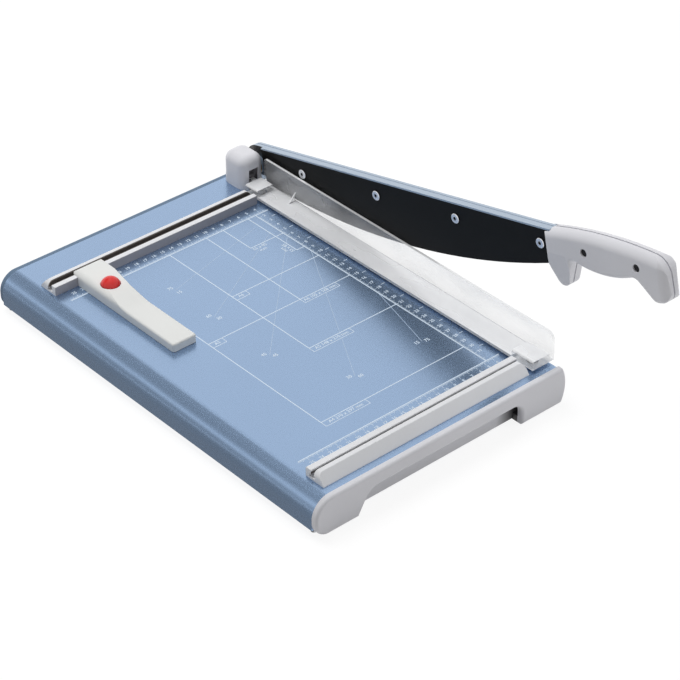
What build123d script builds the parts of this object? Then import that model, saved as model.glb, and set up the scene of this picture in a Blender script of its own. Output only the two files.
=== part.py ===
from build123d import *
import math
import os

# A lever paper trimmer. Lengths are millimetres, angles are degrees.
# While it is drawn, X is 0 in the cutting plane and grows towards the blade, Y is 0 at the far stop
# face and grows towards the pivot, and Z is 0 on the table top. The end of the script moves the whole
# trimmer so that its origin is the middle of its bounding box, on the desk.

# Table sheet
cut_length = 342.0
table_width = 284.5
near_margin = 29.0
far_margin = 57.0
sheet_thickness = 2.0
side_depth = 30.0
roll_radius = 18.5
bend_radius = 3.0
lip_width = 10.0

# End caps and feet
cap_thickness = 6.0
cap_height = 36.5
cap_right_inset = 3.8
cap_right_bulge = 4.4
cap_right_radius = 3.0
cap_foot_radius = 14.0
cap_edge_radius = 2.8
cap_foot_depth = 8.4
cap_inner_wall = 2.5
cap_inner_depth = 35.5
cap_inner_overlap = 14.0
cap_shelf = 3.0
cap_fit = 0.15
arch_left_foot = 46.3
arch_left_slope = 13.0
arch_right_foot = 52.0
arch_height = 22.5
arch_left_radius = 15.0
arch_right_radius = 11.0
pad_radius = 5.0
pad_thickness = 2.0
pad_recess = 1.0
pad_left_inset = 27.0
pad_right_inset = 30.0
cap_screw_radius = 1.5
cap_screw_head_radius = 2.8
cap_screw_head = 1.8

# Stop rails
rail_width = 22.0
rail_ridge_width = 6.4
rail_slot_width = 3.2
rail_crest_width = 4.9
rail_inner_height = 9.0
rail_outer_height = 10.3
rail_toe_height = 0.8
rail_floor = 2.0
rail_undercut = 2.0
rail_undercut_top = 5.0
rail_end_radius = 6.0
rail_corner_radius = 0.8
rail_left_inset = 19.0
far_rail_right_inset = 31.5
near_rail_right_inset = 33.0
rail_screw_radius = 1.5
rail_screw_head_radius = 3.0
rail_screw_head = 1.8
rail_screw_depth = 4.0
rail_screw_offset = 16.0
rail_screw_end_inset = 25.0
rail_screw_count = 3

# Lower blade
lower_blade_thickness = 5.0
lower_blade_height = 22.0
lower_blade_near_overhang = 13.0
lower_blade_far_overhang = 22.0
lower_blade_screw_radius = 2.0
lower_blade_screw_head_radius = 4.0
lower_blade_screw_head = 2.2
lower_blade_screw_recess = 0.3
lower_blade_screw_drop = 12.0
lower_blade_screw_inset = 30.0
lower_blade_screw_count = 4
lower_blade_nut_radius = 3.8
lower_blade_nut = 3.0

# Pivot
pivot_y = 38.0
pivot_z = 14.0
pivot_radius = 5.0
running_clearance = 0.04
axial_clearance = 0.1
bush_wall = 2.0
bush_flange_radius = 9.5
bush_flange = 3.8
bracket_face = 5.3
bracket_upright = 6.0
bracket_near = 29.0
bracket_far = 47.0
bracket_shoulder = 9.8
bracket_foot_width = 14.0
bracket_foot = 4.0
bracket_foot_near = 33.5
bracket_screw_radius = 1.6
bracket_screw_head_radius = 2.8
bracket_screw_head = 2.2
bracket_screw_depth = 3.4
bracket_screw_inset = 3.5
inner_washer = 1.0
inner_washer_radius = 8.5
disc_spring = 1.0
disc_spring_radius = 7.5
disc_spring_count = 2
pivot_nut_radius = 8.0
pivot_nut = 4.5
pivot_bolt_tail = 0.5
pivot_head_radius = 8.5
pivot_head = 5.5
outer_washer = 1.2
outer_washer_radius = 10.5

# Pivot housing
housing_left = 28.0
housing_right = 0.8
housing_near = 24.5
housing_far = 56.5
housing_height = 33.0
housing_wall = 2.5
housing_corner_radius = 9.5
housing_top_radius = 9.0
housing_mouth_left = 20.5
housing_mouth_right = 8.5
housing_mouth_height = 20.5
housing_hub_clearance = 0.8
housing_boss_radius = 3.0
housing_boss_pitch = 10.0
housing_boss_height = 8.0
housing_boss_bite = 0.8
housing_screw_radius = 1.25
housing_screw_head_radius = 2.6
housing_screw_head = 1.6
housing_screw_depth = 6.0

# Arm, drawn level with its pivot at the origin and pointing towards the user, then raised
arm_raise = 13.54
arm_thickness = 9.0
arm_top = 18.2
arm_bottom = 12.0
arm_length = 400.0
arm_hub_radius = 9.0
arm_lip = 1.5
arm_edge_radius = 2.0
arm_groove_width = 0.8
arm_groove_depth = 0.4
tang_end_inset = 24.7
tang_top = 11.0
tang_bottom = 1.5

# Upper blade and its screws
shear_clearance = 0.15
blade_thickness = 2.85
blade_rear = 11.0
blade_handle_gap = 0.7
blade_rear_depth = 17.8
blade_deepest = 38.4
blade_deepest_share = 0.5306
blade_front_depth = 14.2
blade_screw_first = 70.2
blade_screw_front_inset = 6.3
blade_screw_count = 4
blade_screw_height = 3.2
blade_screw_head_radius = 4.75
blade_screw_head = 1.3
blade_screw_dome_radius = 0.8
blade_screw_radius = 2.5
blade_screw_length = 9.0
blade_screw_socket_radius = 1.9
blade_screw_socket_depth = 0.8

# Handle
handle_overlap = 5.7
handle_length = 138.4
handle_height = 55.8
handle_drop = 33.0
handle_thickness = 20.0
handle_edge_radius = 4.0
handle_crown_radius = 8.0
handle_end_round = 9.0
handle_groove_width = 1.4
handle_groove_depth = 2.0
handle_fit = 0.15
handle_hook_share = 0.2
handle_hook_relief = 5.5
handle_hook_relief_top = 2.0
handle_hook_cove = 5.0
handle_corner_shares = [
    (0.0, 0.914),
    (0.977, 0.896),
    (0.990, 0.250),
    (0.885, 0.200),
    (0.735, 0.529),
    (0.211, 0.516),
    (0.132, 0.0),
    (0.059, 0.0),
    (0.0, 0.342),
]
handle_top_share = (0.518, 1.0)
handle_grip_share = (0.518, 0.409)
handle_shoulder_radius = 17.0
handle_pommel_round_share = 0.065
handle_grip_radius = 9.0
handle_notch_radius = 5.0
handle_hook_round_share = 0.05
handle_bolt_shares = (0.335, 0.765)
handle_bolt_height = 6.5
handle_bolt_radius = 2.0
handle_bolt_head_radius = 3.6
handle_bolt_head = 2.6
handle_bolt_recess = 4.0
handle_nut_radius = 3.8
handle_nut = 3.0

# Press finger on the pivot bolt
finger_width = 5.0
finger_hub_radius = 7.5
finger_reach = 9.5
finger_tip_radius = 2.2
finger_droop = 15.0
finger_gap = 0.3

# Clear clamp guard
guard_gap = 2.4
guard_flange = 2.5
guard_wall = 2.5
guard_front = 29.0
guard_face = 3.2
guard_height = 30.0
guard_far_end = 20.0
guard_near_overhang = 22.0
guard_corner_radius = 8.0
guard_far_corner_radius = 2.5
guard_block_inset = 8.5
guard_block_top = 11.2
guard_near_block = 26.0
guard_far_block = 17.0
guard_block_radius = 2.0
gusset_size = 9.0
gusset_thickness = 1.5
gusset_from_stop = 25.0
tongue_end = 30.0
tongue_thickness = 4.0
tongue_width = 5.0

# Guide posts of the clamp
post_inset = 17.0
near_post_from_stop = 10.0
far_post_from_stop = 11.5
post_radius = 2.0
post_top = 10.2
post_bottom = 17.0
post_clip_drop = 13.8
post_clip_radius = 4.5
post_clip = 1.0
post_groove = 0.5
guide_wall = 1.5
guide_depth = 6.0
guide_flange_radius = 5.0
guide_flange = 0.8
spring_pocket_radius = 5.5
spring_pocket_top = 9.2
spring_outer_radius = 4.2
spring_inner_radius = 3.0

# Back gauge
gauge_left = 240.5
gauge_head_width = 31.5
gauge_end_width = 26.0
gauge_reach = 138.0
gauge_top = 13.0
gauge_flat = 43.0
gauge_fall = 26.0
gauge_bend_radius = 60.0
gauge_arm_height = 8.4
gauge_wall = 2.5
gauge_glide = 0.3
gauge_claw = 2.6
gauge_claw_bottom = 4.0
gauge_head_depth = 14.0
gauge_neck = 44.0
gauge_neck_radius = 18.0
gauge_head_radius = 5.0
gauge_head_round = 6.0
gauge_end_radius = 2.5
gauge_edge_radius = 2.0
gauge_top_upward = 0.7
gauge_pocket_near = 45.0
gauge_plate = 1.5
gauge_plate_fit = 0.1
gauge_shoe_gap = 0.3
button_from_stop = 31.8
button_radius = 8.8
button_gap = 0.5
button_proud = 6.6
button_dome = 5.8
button_flange = 1.0
button_flange_depth = 1.5
button_travel = 2.0
stem_width = 8.0
stem_far = 5.0
stem_near = 7.0
wedge_slope_share = 0.5
wedge_gap = 0.3
shoe_width = 12.0
shoe_bottom = 2.1
shoe_top = 8.0
shoe_block = 13.5
shoe_rail_width = 1.6
shoe_rail_top = 6.2
shoe_bar = 3.5
rib_width = 6.0
rib_top = 6.4
rib_thickness = 2.0
lock_spring_length = 5.0
lock_spring_outer_radius = 2.0
lock_spring_inner_radius = 1.2

# Fits shared by the whole trimmer
hole_fit = 0.05
overrun = 5.0

# Places worked out from the sizes above
left_side = -table_width
flange_face = -lower_blade_thickness
near_stop_y = -cut_length
sheet_near_y = near_stop_y - near_margin
sheet_far_y = far_margin
middle_y = (sheet_near_y + sheet_far_y) / 2
desk_z = -cap_height - pad_thickness + pad_recess
arm_face = shear_clearance + blade_thickness
arm_outer = arm_face + arm_thickness
parting_x = (arm_face + arm_outer) / 2
handle_side = parting_x - handle_thickness / 2
handle_front = arm_length - handle_overlap
blade_front = handle_front - blade_handle_gap
blade_deepest_at = blade_rear + blade_deepest_share * (blade_front - blade_rear)
tang_end = handle_front + handle_length - tang_end_inset
bracket_back = -bracket_face - bracket_upright
inner_washer_back = bracket_back - axial_clearance - inner_washer
finger_back = inner_washer_back - finger_width
springs_back = finger_back - disc_spring_count * disc_spring
nut_back = springs_back - pivot_nut
bolt_end = nut_back - pivot_bolt_tail
finger_tip_y = pivot_y - finger_reach * math.cos(math.radians(finger_droop))
finger_tip_z = pivot_z - finger_reach * math.sin(math.radians(finger_droop))
tongue_top = finger_tip_z - finger_tip_radius - finger_gap
guard_near_y = near_stop_y - guard_near_overhang
stem_bottom = gauge_glide + gauge_plate + button_travel + wedge_gap
gauge_pocket_left = -gauge_left + gauge_wall
gauge_pocket_right = -gauge_left + gauge_end_width - gauge_wall
gauge_x = (gauge_pocket_left + gauge_pocket_right) / 2
ARM = Pos(0, pivot_y, pivot_z) * Rot(-arm_raise, 0, 0)


# Shared shapes

def between(x0, x1, y0, y1, z0, z1):
    """A block between two planes on each axis."""
    return Pos((x0 + x1) / 2, (y0 + y1) / 2, (z0 + z1) / 2) * Box(x1 - x0, y1 - y0, z1 - z0)


def flat_between(u0, u1, v0, v1):
    """A rectangle between two lines on each axis of a sketch."""
    return Pos((u0 + u1) / 2, (v0 + v1) / 2) * Rectangle(u1 - u0, v1 - v0)


def rod_x(radius, x0, x1, y, z):
    """A round bar along X."""
    return Pos((x0 + x1) / 2, y, z) * Rot(0, 90, 0) * Cylinder(radius, x1 - x0)


def rod_y(radius, y0, y1, x, z):
    """A round bar along Y."""
    return Pos(x, (y0 + y1) / 2, z) * Rot(90, 0, 0) * Cylinder(radius, y1 - y0)


def rod_z(radius, z0, z1, x, y):
    """A round bar along Z."""
    return Pos(x, y, (z0 + z1) / 2) * Cylinder(radius, z1 - z0)


def hex_x(radius, x0, x1, y, z):
    """A hexagonal bar along X, measured over its corners."""
    return extrude(Plane.YZ.offset(x0) * Pos(y, z) * RegularPolygon(radius, 6), x1 - x0)


def along_y(face, y0, y1):
    """An X-Z section drawn out from y0 to y1."""
    return extrude(Plane.XZ.offset(-y1) * face, y1 - y0)


def along_x(face, x0, x1):
    """A Y-Z section drawn out from x0 to x1."""
    return extrude(Plane.YZ.offset(x0) * face, x1 - x0)


def evenly(first, last, count):
    """Places spread evenly from first to last."""
    return [first + (last - first) * index / (count - 1) for index in range(count)]


def mirrored_ends(shape):
    """The same piece at the other end of the table."""
    return mirror(shape, about=Plane.XZ.offset(-middle_y))


# Table and what stands on the desk

def lip_places():
    """Middle of the two inward lips of the sheet."""
    inset = (lip_width + sheet_thickness) / 2
    return (left_side + inset, flange_face - inset)


def cap_screw_places():
    """One screw through each lip at each end, in the middle of the cap's foot."""
    near = sheet_near_y + cap_foot_depth / 2
    far = sheet_far_y - cap_foot_depth / 2
    return [(x, y) for y in (near, far) for x in lip_places()]


def rail_screw_places():
    """Screws under both rails."""
    left = left_side + rail_left_inset + rail_screw_end_inset
    far = evenly(left, -far_rail_right_inset - rail_screw_end_inset, rail_screw_count)
    near = evenly(left, -near_rail_right_inset - rail_screw_end_inset, rail_screw_count)
    return [(x, rail_screw_offset) for x in far] + [(x, near_stop_y - rail_screw_offset) for x in near]


def bracket_screw_places():
    """Screws under the pivot bracket's foot."""
    x = bracket_back - bracket_foot_width / 2
    return [(x, bracket_foot_near + bracket_screw_inset), (x, bracket_far - bracket_screw_inset)]


def housing_screw_places():
    """Screws under the two bosses at the housing's far wall."""
    inset = housing_wall + housing_boss_radius - housing_boss_bite
    y = housing_far - inset
    left = -housing_left + inset
    return [(left, y), (left + housing_boss_pitch, y)]


def post_places():
    """Near and far guide post of the clamp."""
    return [(-post_inset, near_stop_y - near_post_from_stop), (-post_inset, far_post_from_stop)]


def lower_blade_screw_places():
    """Screws along the lower blade."""
    near = near_stop_y - lower_blade_near_overhang + lower_blade_screw_inset
    far = lower_blade_far_overhang - lower_blade_screw_inset
    return evenly(near, far, lower_blade_screw_count)


def table_top():
    """Sheet with a rolled left edge, a right flange for the lower blade and an inward lip on both."""
    outer = flat_between(left_side, flange_face, -side_depth, 0)
    outer = fillet(outer.vertices().sort_by(Axis.Y)[2:].sort_by(Axis.X)[0], roll_radius)
    outer = fillet(outer.vertices().sort_by(Axis.Y)[-2:].sort_by(Axis.X)[-1], bend_radius)
    inner = flat_between(left_side + sheet_thickness, flange_face - sheet_thickness,
                         -side_depth + sheet_thickness, -sheet_thickness)
    inner = fillet(inner.vertices().sort_by(Axis.Y)[2:].sort_by(Axis.X)[0], roll_radius - sheet_thickness)
    mouth = flat_between(left_side + sheet_thickness + lip_width, flange_face - sheet_thickness - lip_width,
                         -side_depth - overrun, -side_depth + sheet_thickness)
    sheet = along_y(outer - inner - mouth, sheet_near_y, sheet_far_y)
    for x, y in cap_screw_places():
        sheet -= rod_z(cap_screw_radius + hole_fit, -side_depth - overrun, -side_depth + sheet_thickness,
                       x, y)
    for x, y in rail_screw_places():
        sheet -= rod_z(rail_screw_radius + hole_fit, -sheet_thickness - overrun, overrun, x, y)
    for x, y in bracket_screw_places():
        sheet -= rod_z(bracket_screw_radius + hole_fit, -sheet_thickness - overrun, overrun, x, y)
    for x, y in housing_screw_places():
        sheet -= rod_z(housing_screw_radius + hole_fit, -sheet_thickness - overrun, overrun, x, y)
    for x, y in post_places():
        guide_radius = post_radius + running_clearance + guide_wall + hole_fit
        sheet -= rod_z(guide_radius, -sheet_thickness - overrun, overrun, x, y)
    for y in lower_blade_screw_places():
        sheet -= rod_x(lower_blade_screw_radius + hole_fit, flange_face - sheet_thickness - overrun,
                       flange_face + overrun, y, -lower_blade_screw_drop)
    return sheet


def cap_outline():
    """End view of a cap: rolled left shoulder, bowed right end and two feet with an arch between."""
    right = -cap_right_inset
    middle = (right + cap_right_bulge, -cap_height / 2)
    edges = Curve() + [
        Line((left_side, 0), (right, 0)),
        ThreePointArc((right, 0), middle, (right, -cap_height)),
        Line((right, -cap_height), (left_side, -cap_height)),
        Line((left_side, -cap_height), (left_side, 0)),
    ]
    outline = make_face(edges)
    corners = outline.vertices().sort_by(Axis.X)
    top_left = corners[:2].sort_by(Axis.Y)[-1]
    outline = fillet(top_left, roll_radius)
    bottom_left = outline.vertices().sort_by(Axis.Y)[:2].sort_by(Axis.X)[0]
    outline = fillet(bottom_left, cap_foot_radius)
    outline = fillet(outline.vertices().sort_by(Axis.X)[-2:], cap_right_radius)
    return outline


def arch_outline():
    """The opening between the two feet, with a sloped left side."""
    left = left_side + arch_left_foot
    right = -arch_right_foot
    top = -cap_height + arch_height
    low = -cap_height - overrun
    opening = make_face(Polyline((left, low), (left, -cap_height), (left + arch_left_slope, top),
                                 (right, top), (right, low), close=True))
    upper = opening.vertices().sort_by(Axis.Y)[-2:].sort_by(Axis.X)
    opening = fillet(upper[0], arch_left_radius)
    upper = opening.vertices().sort_by(Axis.Y)[-2:].sort_by(Axis.X)
    return fillet(upper[-1], arch_right_radius)


def near_end_cap():
    """Plastic cap: face plate, feet under the sheet's lips and a wall inside the sheet."""
    front = sheet_near_y - cap_thickness
    back = sheet_near_y + cap_foot_depth
    outline = cap_outline()
    cap = along_y(outline - arch_outline(), front, sheet_near_y)
    cap = fillet(cap.faces().sort_by(Axis.Y)[0].outer_wire().edges(), cap_edge_radius)
    feet = flat_between(left_side - overrun, overrun, -cap_height - overrun, -side_depth)
    cap += along_y((outline & feet) - arch_outline(), sheet_near_y, back)
    gap = sheet_thickness + cap_fit
    inside_left = left_side + roll_radius
    inside_right = -arch_right_foot + cap_inner_overlap
    cap += between(inside_left, inside_right, sheet_near_y, back, -gap - cap_shelf, -gap)
    cap += between(inside_left, inside_right, back - cap_inner_wall, back, -cap_inner_depth, -gap)
    for x, y in cap_screw_places()[:2]:
        cap -= rod_z(cap_screw_radius + hole_fit, -cap_height - overrun, -side_depth, x, y)
        cap -= rod_z(cap_screw_head_radius + hole_fit, -cap_height - overrun, cap_screw_seat(), x, y)
    for x in pad_places():
        cap -= rod_z(pad_radius, -cap_height - overrun, -cap_height + pad_recess, x, pad_y())
    return cap


def cap_screw_seat():
    """Height of the shoulder that a cap screw's head pulls against."""
    return -(cap_height + side_depth) / 2


def cap_screws():
    """Screws that hold both caps to the sheet's lips."""
    seat = cap_screw_seat()
    screws = []
    for x, y in cap_screw_places():
        screw = rod_z(cap_screw_head_radius, seat - cap_screw_head, seat, x, y)
        screws.append(screw + rod_z(cap_screw_radius, seat, -side_depth + sheet_thickness, x, y))
    return Compound(screws)


def pad_places():
    """Pads under the left and the right foot of a cap."""
    return (left_side + pad_left_inset, -pad_right_inset)


def pad_y():
    """Middle of the flat under the near feet."""
    return sheet_near_y + (cap_foot_depth - cap_thickness + cap_edge_radius) / 2


def foot_pad(x):
    """Rubber pad let into a near foot."""
    return rod_z(pad_radius, desk_z, -cap_height + pad_recess, x, pad_y())


# Stop rails

def rail_profile():
    """Rail section: stop ridge, T-slot and a higher crest that slopes to a toe."""
    slot_far = rail_ridge_width + rail_slot_width
    crest_far = slot_far + rail_crest_width
    body = make_face(Polyline(
        (0, 0), (0, rail_inner_height), (rail_ridge_width, rail_inner_height), (rail_ridge_width, rail_floor),
        (slot_far, rail_floor), (slot_far, rail_outer_height), (crest_far, rail_outer_height),
        (rail_width, rail_toe_height), (rail_width, 0), close=True))
    tops = body.vertices().filter_by_position(Axis.Y, rail_inner_height, rail_outer_height)
    body = fillet(tops, rail_corner_radius)
    return body - flat_between(rail_ridge_width - rail_undercut, slot_far + rail_undercut,
                               rail_floor, rail_undercut_top)


def rail_end_rounding(end, inward):
    """The corner that is rounded off a rail's crest at one end. Inward is 1 at the left end, else -1."""
    middle = end + inward * rail_end_radius
    low = rail_outer_height - rail_end_radius
    crest = rail_ridge_width + rail_slot_width
    back = rail_width + overrun
    corner = between(min(end, middle), max(end, middle), crest, back, low, rail_outer_height + overrun)
    return corner - rod_y(rail_end_radius, crest, back, middle, low)


def far_rail(right_inset):
    """Rail along the far stop line."""
    left = left_side + rail_left_inset
    rail = along_x(rail_profile(), left, -right_inset)
    rail -= rail_end_rounding(left, 1)
    rail -= rail_end_rounding(-right_inset, -1)
    for x in evenly(left + rail_screw_end_inset, -right_inset - rail_screw_end_inset, rail_screw_count):
        rail -= rod_z(rail_screw_radius + hole_fit, -overrun, rail_screw_depth + hole_fit,
                      x, rail_screw_offset)
    return rail


def near_rail():
    """The same extrusion turned round at the near stop line."""
    return mirror(far_rail(near_rail_right_inset), about=Plane.XZ.offset(cut_length / 2))


def screws_from_below(places, radius, head_radius, head, depth):
    """Pan-head screws up through the sheet."""
    screws = []
    for x, y in places:
        screw = rod_z(head_radius, -sheet_thickness - head, -sheet_thickness, x, y)
        screws.append(screw + rod_z(radius, -sheet_thickness, depth, x, y))
    return Compound(screws)


# Lower blade

def lower_blade():
    """Ground steel bar whose top edge is the cutting edge, with countersunk holes."""
    near = near_stop_y - lower_blade_near_overhang
    bar = between(flange_face, 0, near, lower_blade_far_overhang, -lower_blade_height, 0)
    for y in lower_blade_screw_places():
        bar -= lower_blade_screw(y, hole_fit, overrun)
    return bar


def lower_blade_screw(y, fit, lead):
    """Countersunk screw through the bar and the flange. The lead opens the hole at the bar's face."""
    top = -lower_blade_screw_recess
    tip = flange_face - sheet_thickness - lower_blade_nut
    cone = Pos(top - lower_blade_screw_head / 2, y, -lower_blade_screw_drop) * Rot(0, 90, 0) * Cone(
        lower_blade_screw_radius + fit, lower_blade_screw_head_radius + fit, lower_blade_screw_head)
    screw = cone + rod_x(lower_blade_screw_radius + fit, tip, top - lower_blade_screw_head, y,
                         -lower_blade_screw_drop)
    if lead:
        screw += rod_x(lower_blade_screw_head_radius + fit, top, lead, y, -lower_blade_screw_drop)
    return screw


def lower_blade_nuts():
    """Nuts behind the flange."""
    back = flange_face - sheet_thickness
    nuts = []
    for y in lower_blade_screw_places():
        nut = hex_x(lower_blade_nut_radius, back - lower_blade_nut, back, y, -lower_blade_screw_drop)
        bore = rod_x(lower_blade_screw_radius + hole_fit, back - lower_blade_nut - overrun, back + overrun, y,
                     -lower_blade_screw_drop)
        nuts.append(nut - bore)
    return Compound(nuts)


# Pivot

def pivot_bracket():
    """Steel angle: a round-topped upright that carries the bush, and a foot on the table."""
    upright = between(bracket_back, -bracket_face, bracket_near, bracket_far, 0, pivot_z)
    upright += rod_x(bracket_shoulder, bracket_back, -bracket_face, pivot_y, pivot_z)
    foot = between(bracket_back - bracket_foot_width, bracket_back, bracket_foot_near, bracket_far,
                   0, bracket_foot)
    bracket = upright + foot
    bracket -= rod_x(pivot_radius + running_clearance + bush_wall + hole_fit, bracket_back - overrun, 0,
                     pivot_y, pivot_z)
    for x, y in bracket_screw_places():
        bracket -= rod_z(bracket_screw_radius + hole_fit, -overrun, bracket_screw_depth + hole_fit, x, y)
    return bracket


def pivot_bush():
    """Flanged bronze bush between the bracket and the arm's hub."""
    bore = pivot_radius + running_clearance
    bush = rod_x(bore + bush_wall, bracket_back, -bracket_face, pivot_y, pivot_z)
    bush += rod_x(bush_flange_radius, -bracket_face, -bracket_face + bush_flange, pivot_y, pivot_z)
    return bush - rod_x(bore, bracket_back - overrun, overrun, pivot_y, pivot_z)


def ring_x(outer_radius, x0, x1):
    """A ring on the pivot bolt."""
    ring = rod_x(outer_radius, x0, x1, pivot_y, pivot_z)
    return ring - rod_x(pivot_radius + hole_fit, x0 - overrun, x1 + overrun, pivot_y, pivot_z)


def pivot_bolt():
    """Hexagon bolt through the arm and the bush, turning with the arm."""
    seat = arm_outer + outer_washer
    bolt = rod_x(pivot_radius, bolt_end, seat, pivot_y, pivot_z)
    return bolt + ARM * hex_x(pivot_head_radius, seat, seat + pivot_head, 0, 0)


def disc_springs():
    """Disc springs that press the two blades together."""
    starts = [finger_back - index * disc_spring for index in range(disc_spring_count)]
    return Compound([ring_x(disc_spring_radius, start - disc_spring, start) for start in starts])


def pivot_nut_piece():
    """Lock nut at the end of the pivot bolt."""
    nut = ARM * hex_x(pivot_nut_radius, nut_back, springs_back, 0, 0)
    return nut - rod_x(pivot_radius + hole_fit, nut_back - overrun, springs_back + overrun, pivot_y, pivot_z)


def press_finger():
    """Hub on the pivot bolt with a round-tipped finger above the clamp's tongue."""
    hub = rod_x(finger_hub_radius, finger_back, inner_washer_back, pivot_y, pivot_z)
    finger = Pos(0, -finger_reach / 2, 0) * Box(finger_width, finger_reach, 2 * finger_tip_radius)
    turned = Pos((finger_back + inner_washer_back) / 2, pivot_y, pivot_z) * Rot(finger_droop, 0, 0) * finger
    tip = rod_x(finger_tip_radius, finger_back, inner_washer_back, finger_tip_y, finger_tip_z)
    bore = rod_x(pivot_radius + hole_fit, finger_back - overrun, overrun, pivot_y, pivot_z)
    return hub + turned + tip - bore


def housing_cover():
    """Rounded plastic cover over the bracket, open below, at the hub and at the clamp's tongue."""
    outer = between(-housing_left, -housing_right, housing_near, housing_far, 0, housing_height)
    outer = fillet(outer.edges().filter_by(Axis.Z), housing_corner_radius)
    outer = fillet(outer.faces().sort_by(Axis.Z)[-1].edges(), housing_top_radius)
    inner = between(-housing_left + housing_wall, -housing_right - housing_wall, housing_near + housing_wall,
                    housing_far - housing_wall, -overrun, housing_height - housing_wall)
    inner = fillet(inner.edges().filter_by(Axis.Z), housing_corner_radius - housing_wall)
    inner = fillet(inner.faces().sort_by(Axis.Z)[-1].edges(), housing_top_radius - housing_wall)
    shell = outer - inner
    for x, y in housing_screw_places():
        shell += rod_z(housing_boss_radius, 0, housing_boss_height, x, y)
        shell -= rod_z(housing_screw_radius + hole_fit, -overrun, housing_screw_depth + hole_fit, x, y)
    shell -= between(-housing_mouth_left, -housing_mouth_right, housing_near - overrun,
                     housing_near + housing_wall + overrun / 2, -overrun, housing_mouth_height)
    hub = bush_flange_radius + housing_hub_clearance
    side = -housing_right - housing_corner_radius
    shell -= rod_x(hub, side, overrun, pivot_y, pivot_z)
    shell -= between(side, overrun, pivot_y - hub, pivot_y + hub, -overrun, pivot_z)
    return shell


# Swinging arm

def level_arm(face, x0, x1):
    """A section of the level arm, drawn with distance from the pivot and height, then raised."""
    return ARM * extrude(Plane.YZ.offset(x0) * mirror(face, about=Plane.YZ), x1 - x0)


def blade_arm():
    """Painted bar with a round rear end, a lip over the blade and a tang for the handle."""
    bar = flat_between(0, arm_length, -arm_bottom, arm_top)
    rear = Circle(arm_top) & flat_between(-arm_top - overrun, 0, -arm_top - overrun, arm_top + overrun)
    body = level_arm(bar + rear, arm_face, arm_outer)
    top_edges = body.edges().filter_by(lambda edge: edge.length > arm_length / 2)
    outer_top = top_edges.sort_by(Axis.Z)[-2:].sort_by(Axis.X)[-1]
    body = fillet(outer_top, arm_edge_radius)
    body += level_arm(flat_between(blade_rear, arm_length, arm_top - arm_lip, arm_top),
                      shear_clearance, arm_face)
    hub_face = -bracket_face + bush_flange + axial_clearance
    body += rod_x(arm_hub_radius, hub_face, arm_face, pivot_y, pivot_z)
    body += level_arm(flat_between(arm_length, tang_end, -tang_bottom, tang_top), arm_face, arm_outer)
    body -= level_arm(flat_between(-arm_top, tang_end, arm_top - arm_groove_depth, arm_top + overrun),
                      parting_x - arm_groove_width, parting_x)
    body -= rod_x(pivot_radius + hole_fit, hub_face - overrun, arm_outer + overrun, pivot_y, pivot_z)
    for along in blade_screw_places():
        body -= level_arm(Pos(along, blade_screw_height) * Circle(blade_screw_radius + hole_fit), arm_face,
                          shear_clearance + blade_screw_length + hole_fit)
    for along in handle_bolt_places():
        body -= level_arm(Pos(along, handle_bolt_height) * Circle(handle_bolt_radius + hole_fit),
                          arm_face - overrun, arm_outer + overrun)
    return body


def blade_screw_places():
    """Distances of the blade screws from the pivot."""
    return evenly(blade_screw_first, blade_front - blade_screw_front_inset, blade_screw_count)


def upper_blade():
    """Curved blade on the arm's inner face."""
    top = arm_top - arm_lip
    edges = Curve() + [
        Line((blade_rear, top), (blade_front, top)),
        Line((blade_front, top), (blade_front, -blade_front_depth)),
        ThreePointArc((blade_front, -blade_front_depth), (blade_deepest_at, -blade_deepest),
                      (blade_rear, -blade_rear_depth)),
        Line((blade_rear, -blade_rear_depth), (blade_rear, top)),
    ]
    face = make_face(edges)
    for along in blade_screw_places():
        face -= Pos(along, blade_screw_height) * Circle(blade_screw_radius + hole_fit)
    return level_arm(face, shear_clearance, arm_face)


def blade_screws():
    """Socket-head screws, their heads proud of the blade."""
    face = shear_clearance
    screws = []
    for along in blade_screw_places():
        screw = Cylinder(blade_screw_head_radius, blade_screw_head)
        screw = fillet(screw.edges().sort_by(Axis.Z)[-1], blade_screw_dome_radius)
        socket = extrude(RegularPolygon(blade_screw_socket_radius, 6), blade_screw_socket_depth + overrun)
        screw -= Pos(0, 0, blade_screw_head / 2 - blade_screw_socket_depth) * socket
        head = ARM * Pos(face - blade_screw_head / 2, -along, blade_screw_height) * Rot(0, -90, 0) * screw
        shank = level_arm(Pos(along, blade_screw_height) * Circle(blade_screw_radius), face,
                          face + blade_screw_length)
        screws.append(head + shank)
    return Compound(screws)


# Handle

def handle_bolt_places():
    """Distances of the handle bolts from the pivot."""
    return [handle_front + share * handle_length for share in handle_bolt_shares]


def handle_point(shares):
    """A point of the handle's side view, from its shares of the length and the height."""
    along, up = shares
    return (handle_front + along * handle_length, -handle_drop + up * handle_height)


def handle_outline():
    """Side view with the finger hook at the front and the pommel at the end."""
    front_top, back_top, back_low, pommel, grip_end, notch, hook_back, hook_front, front_low = [
        handle_point(shares) for shares in handle_corner_shares]
    outline = make_face(Curve() + [
        ThreePointArc(front_top, handle_point(handle_top_share), back_top),
        Polyline(back_top, back_low, pommel, grip_end),
        ThreePointArc(grip_end, handle_point(handle_grip_share), notch),
        Polyline(notch, hook_back, hook_front, front_low, front_top),
    ])
    pommel_radius = handle_pommel_round_share * handle_length
    hook_radius = handle_hook_round_share * handle_length
    rounded = (
        (back_top, handle_shoulder_radius),
        (back_low, pommel_radius),
        (pommel, pommel_radius),
        (grip_end, handle_grip_radius),
        (notch, handle_notch_radius),
        (hook_back, hook_radius),
        (hook_front, hook_radius),
    )
    for corner, radius in rounded:
        outline = fillet(outline.vertices().sort_by_distance(Vector(*corner))[0], radius)
    return outline


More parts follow.
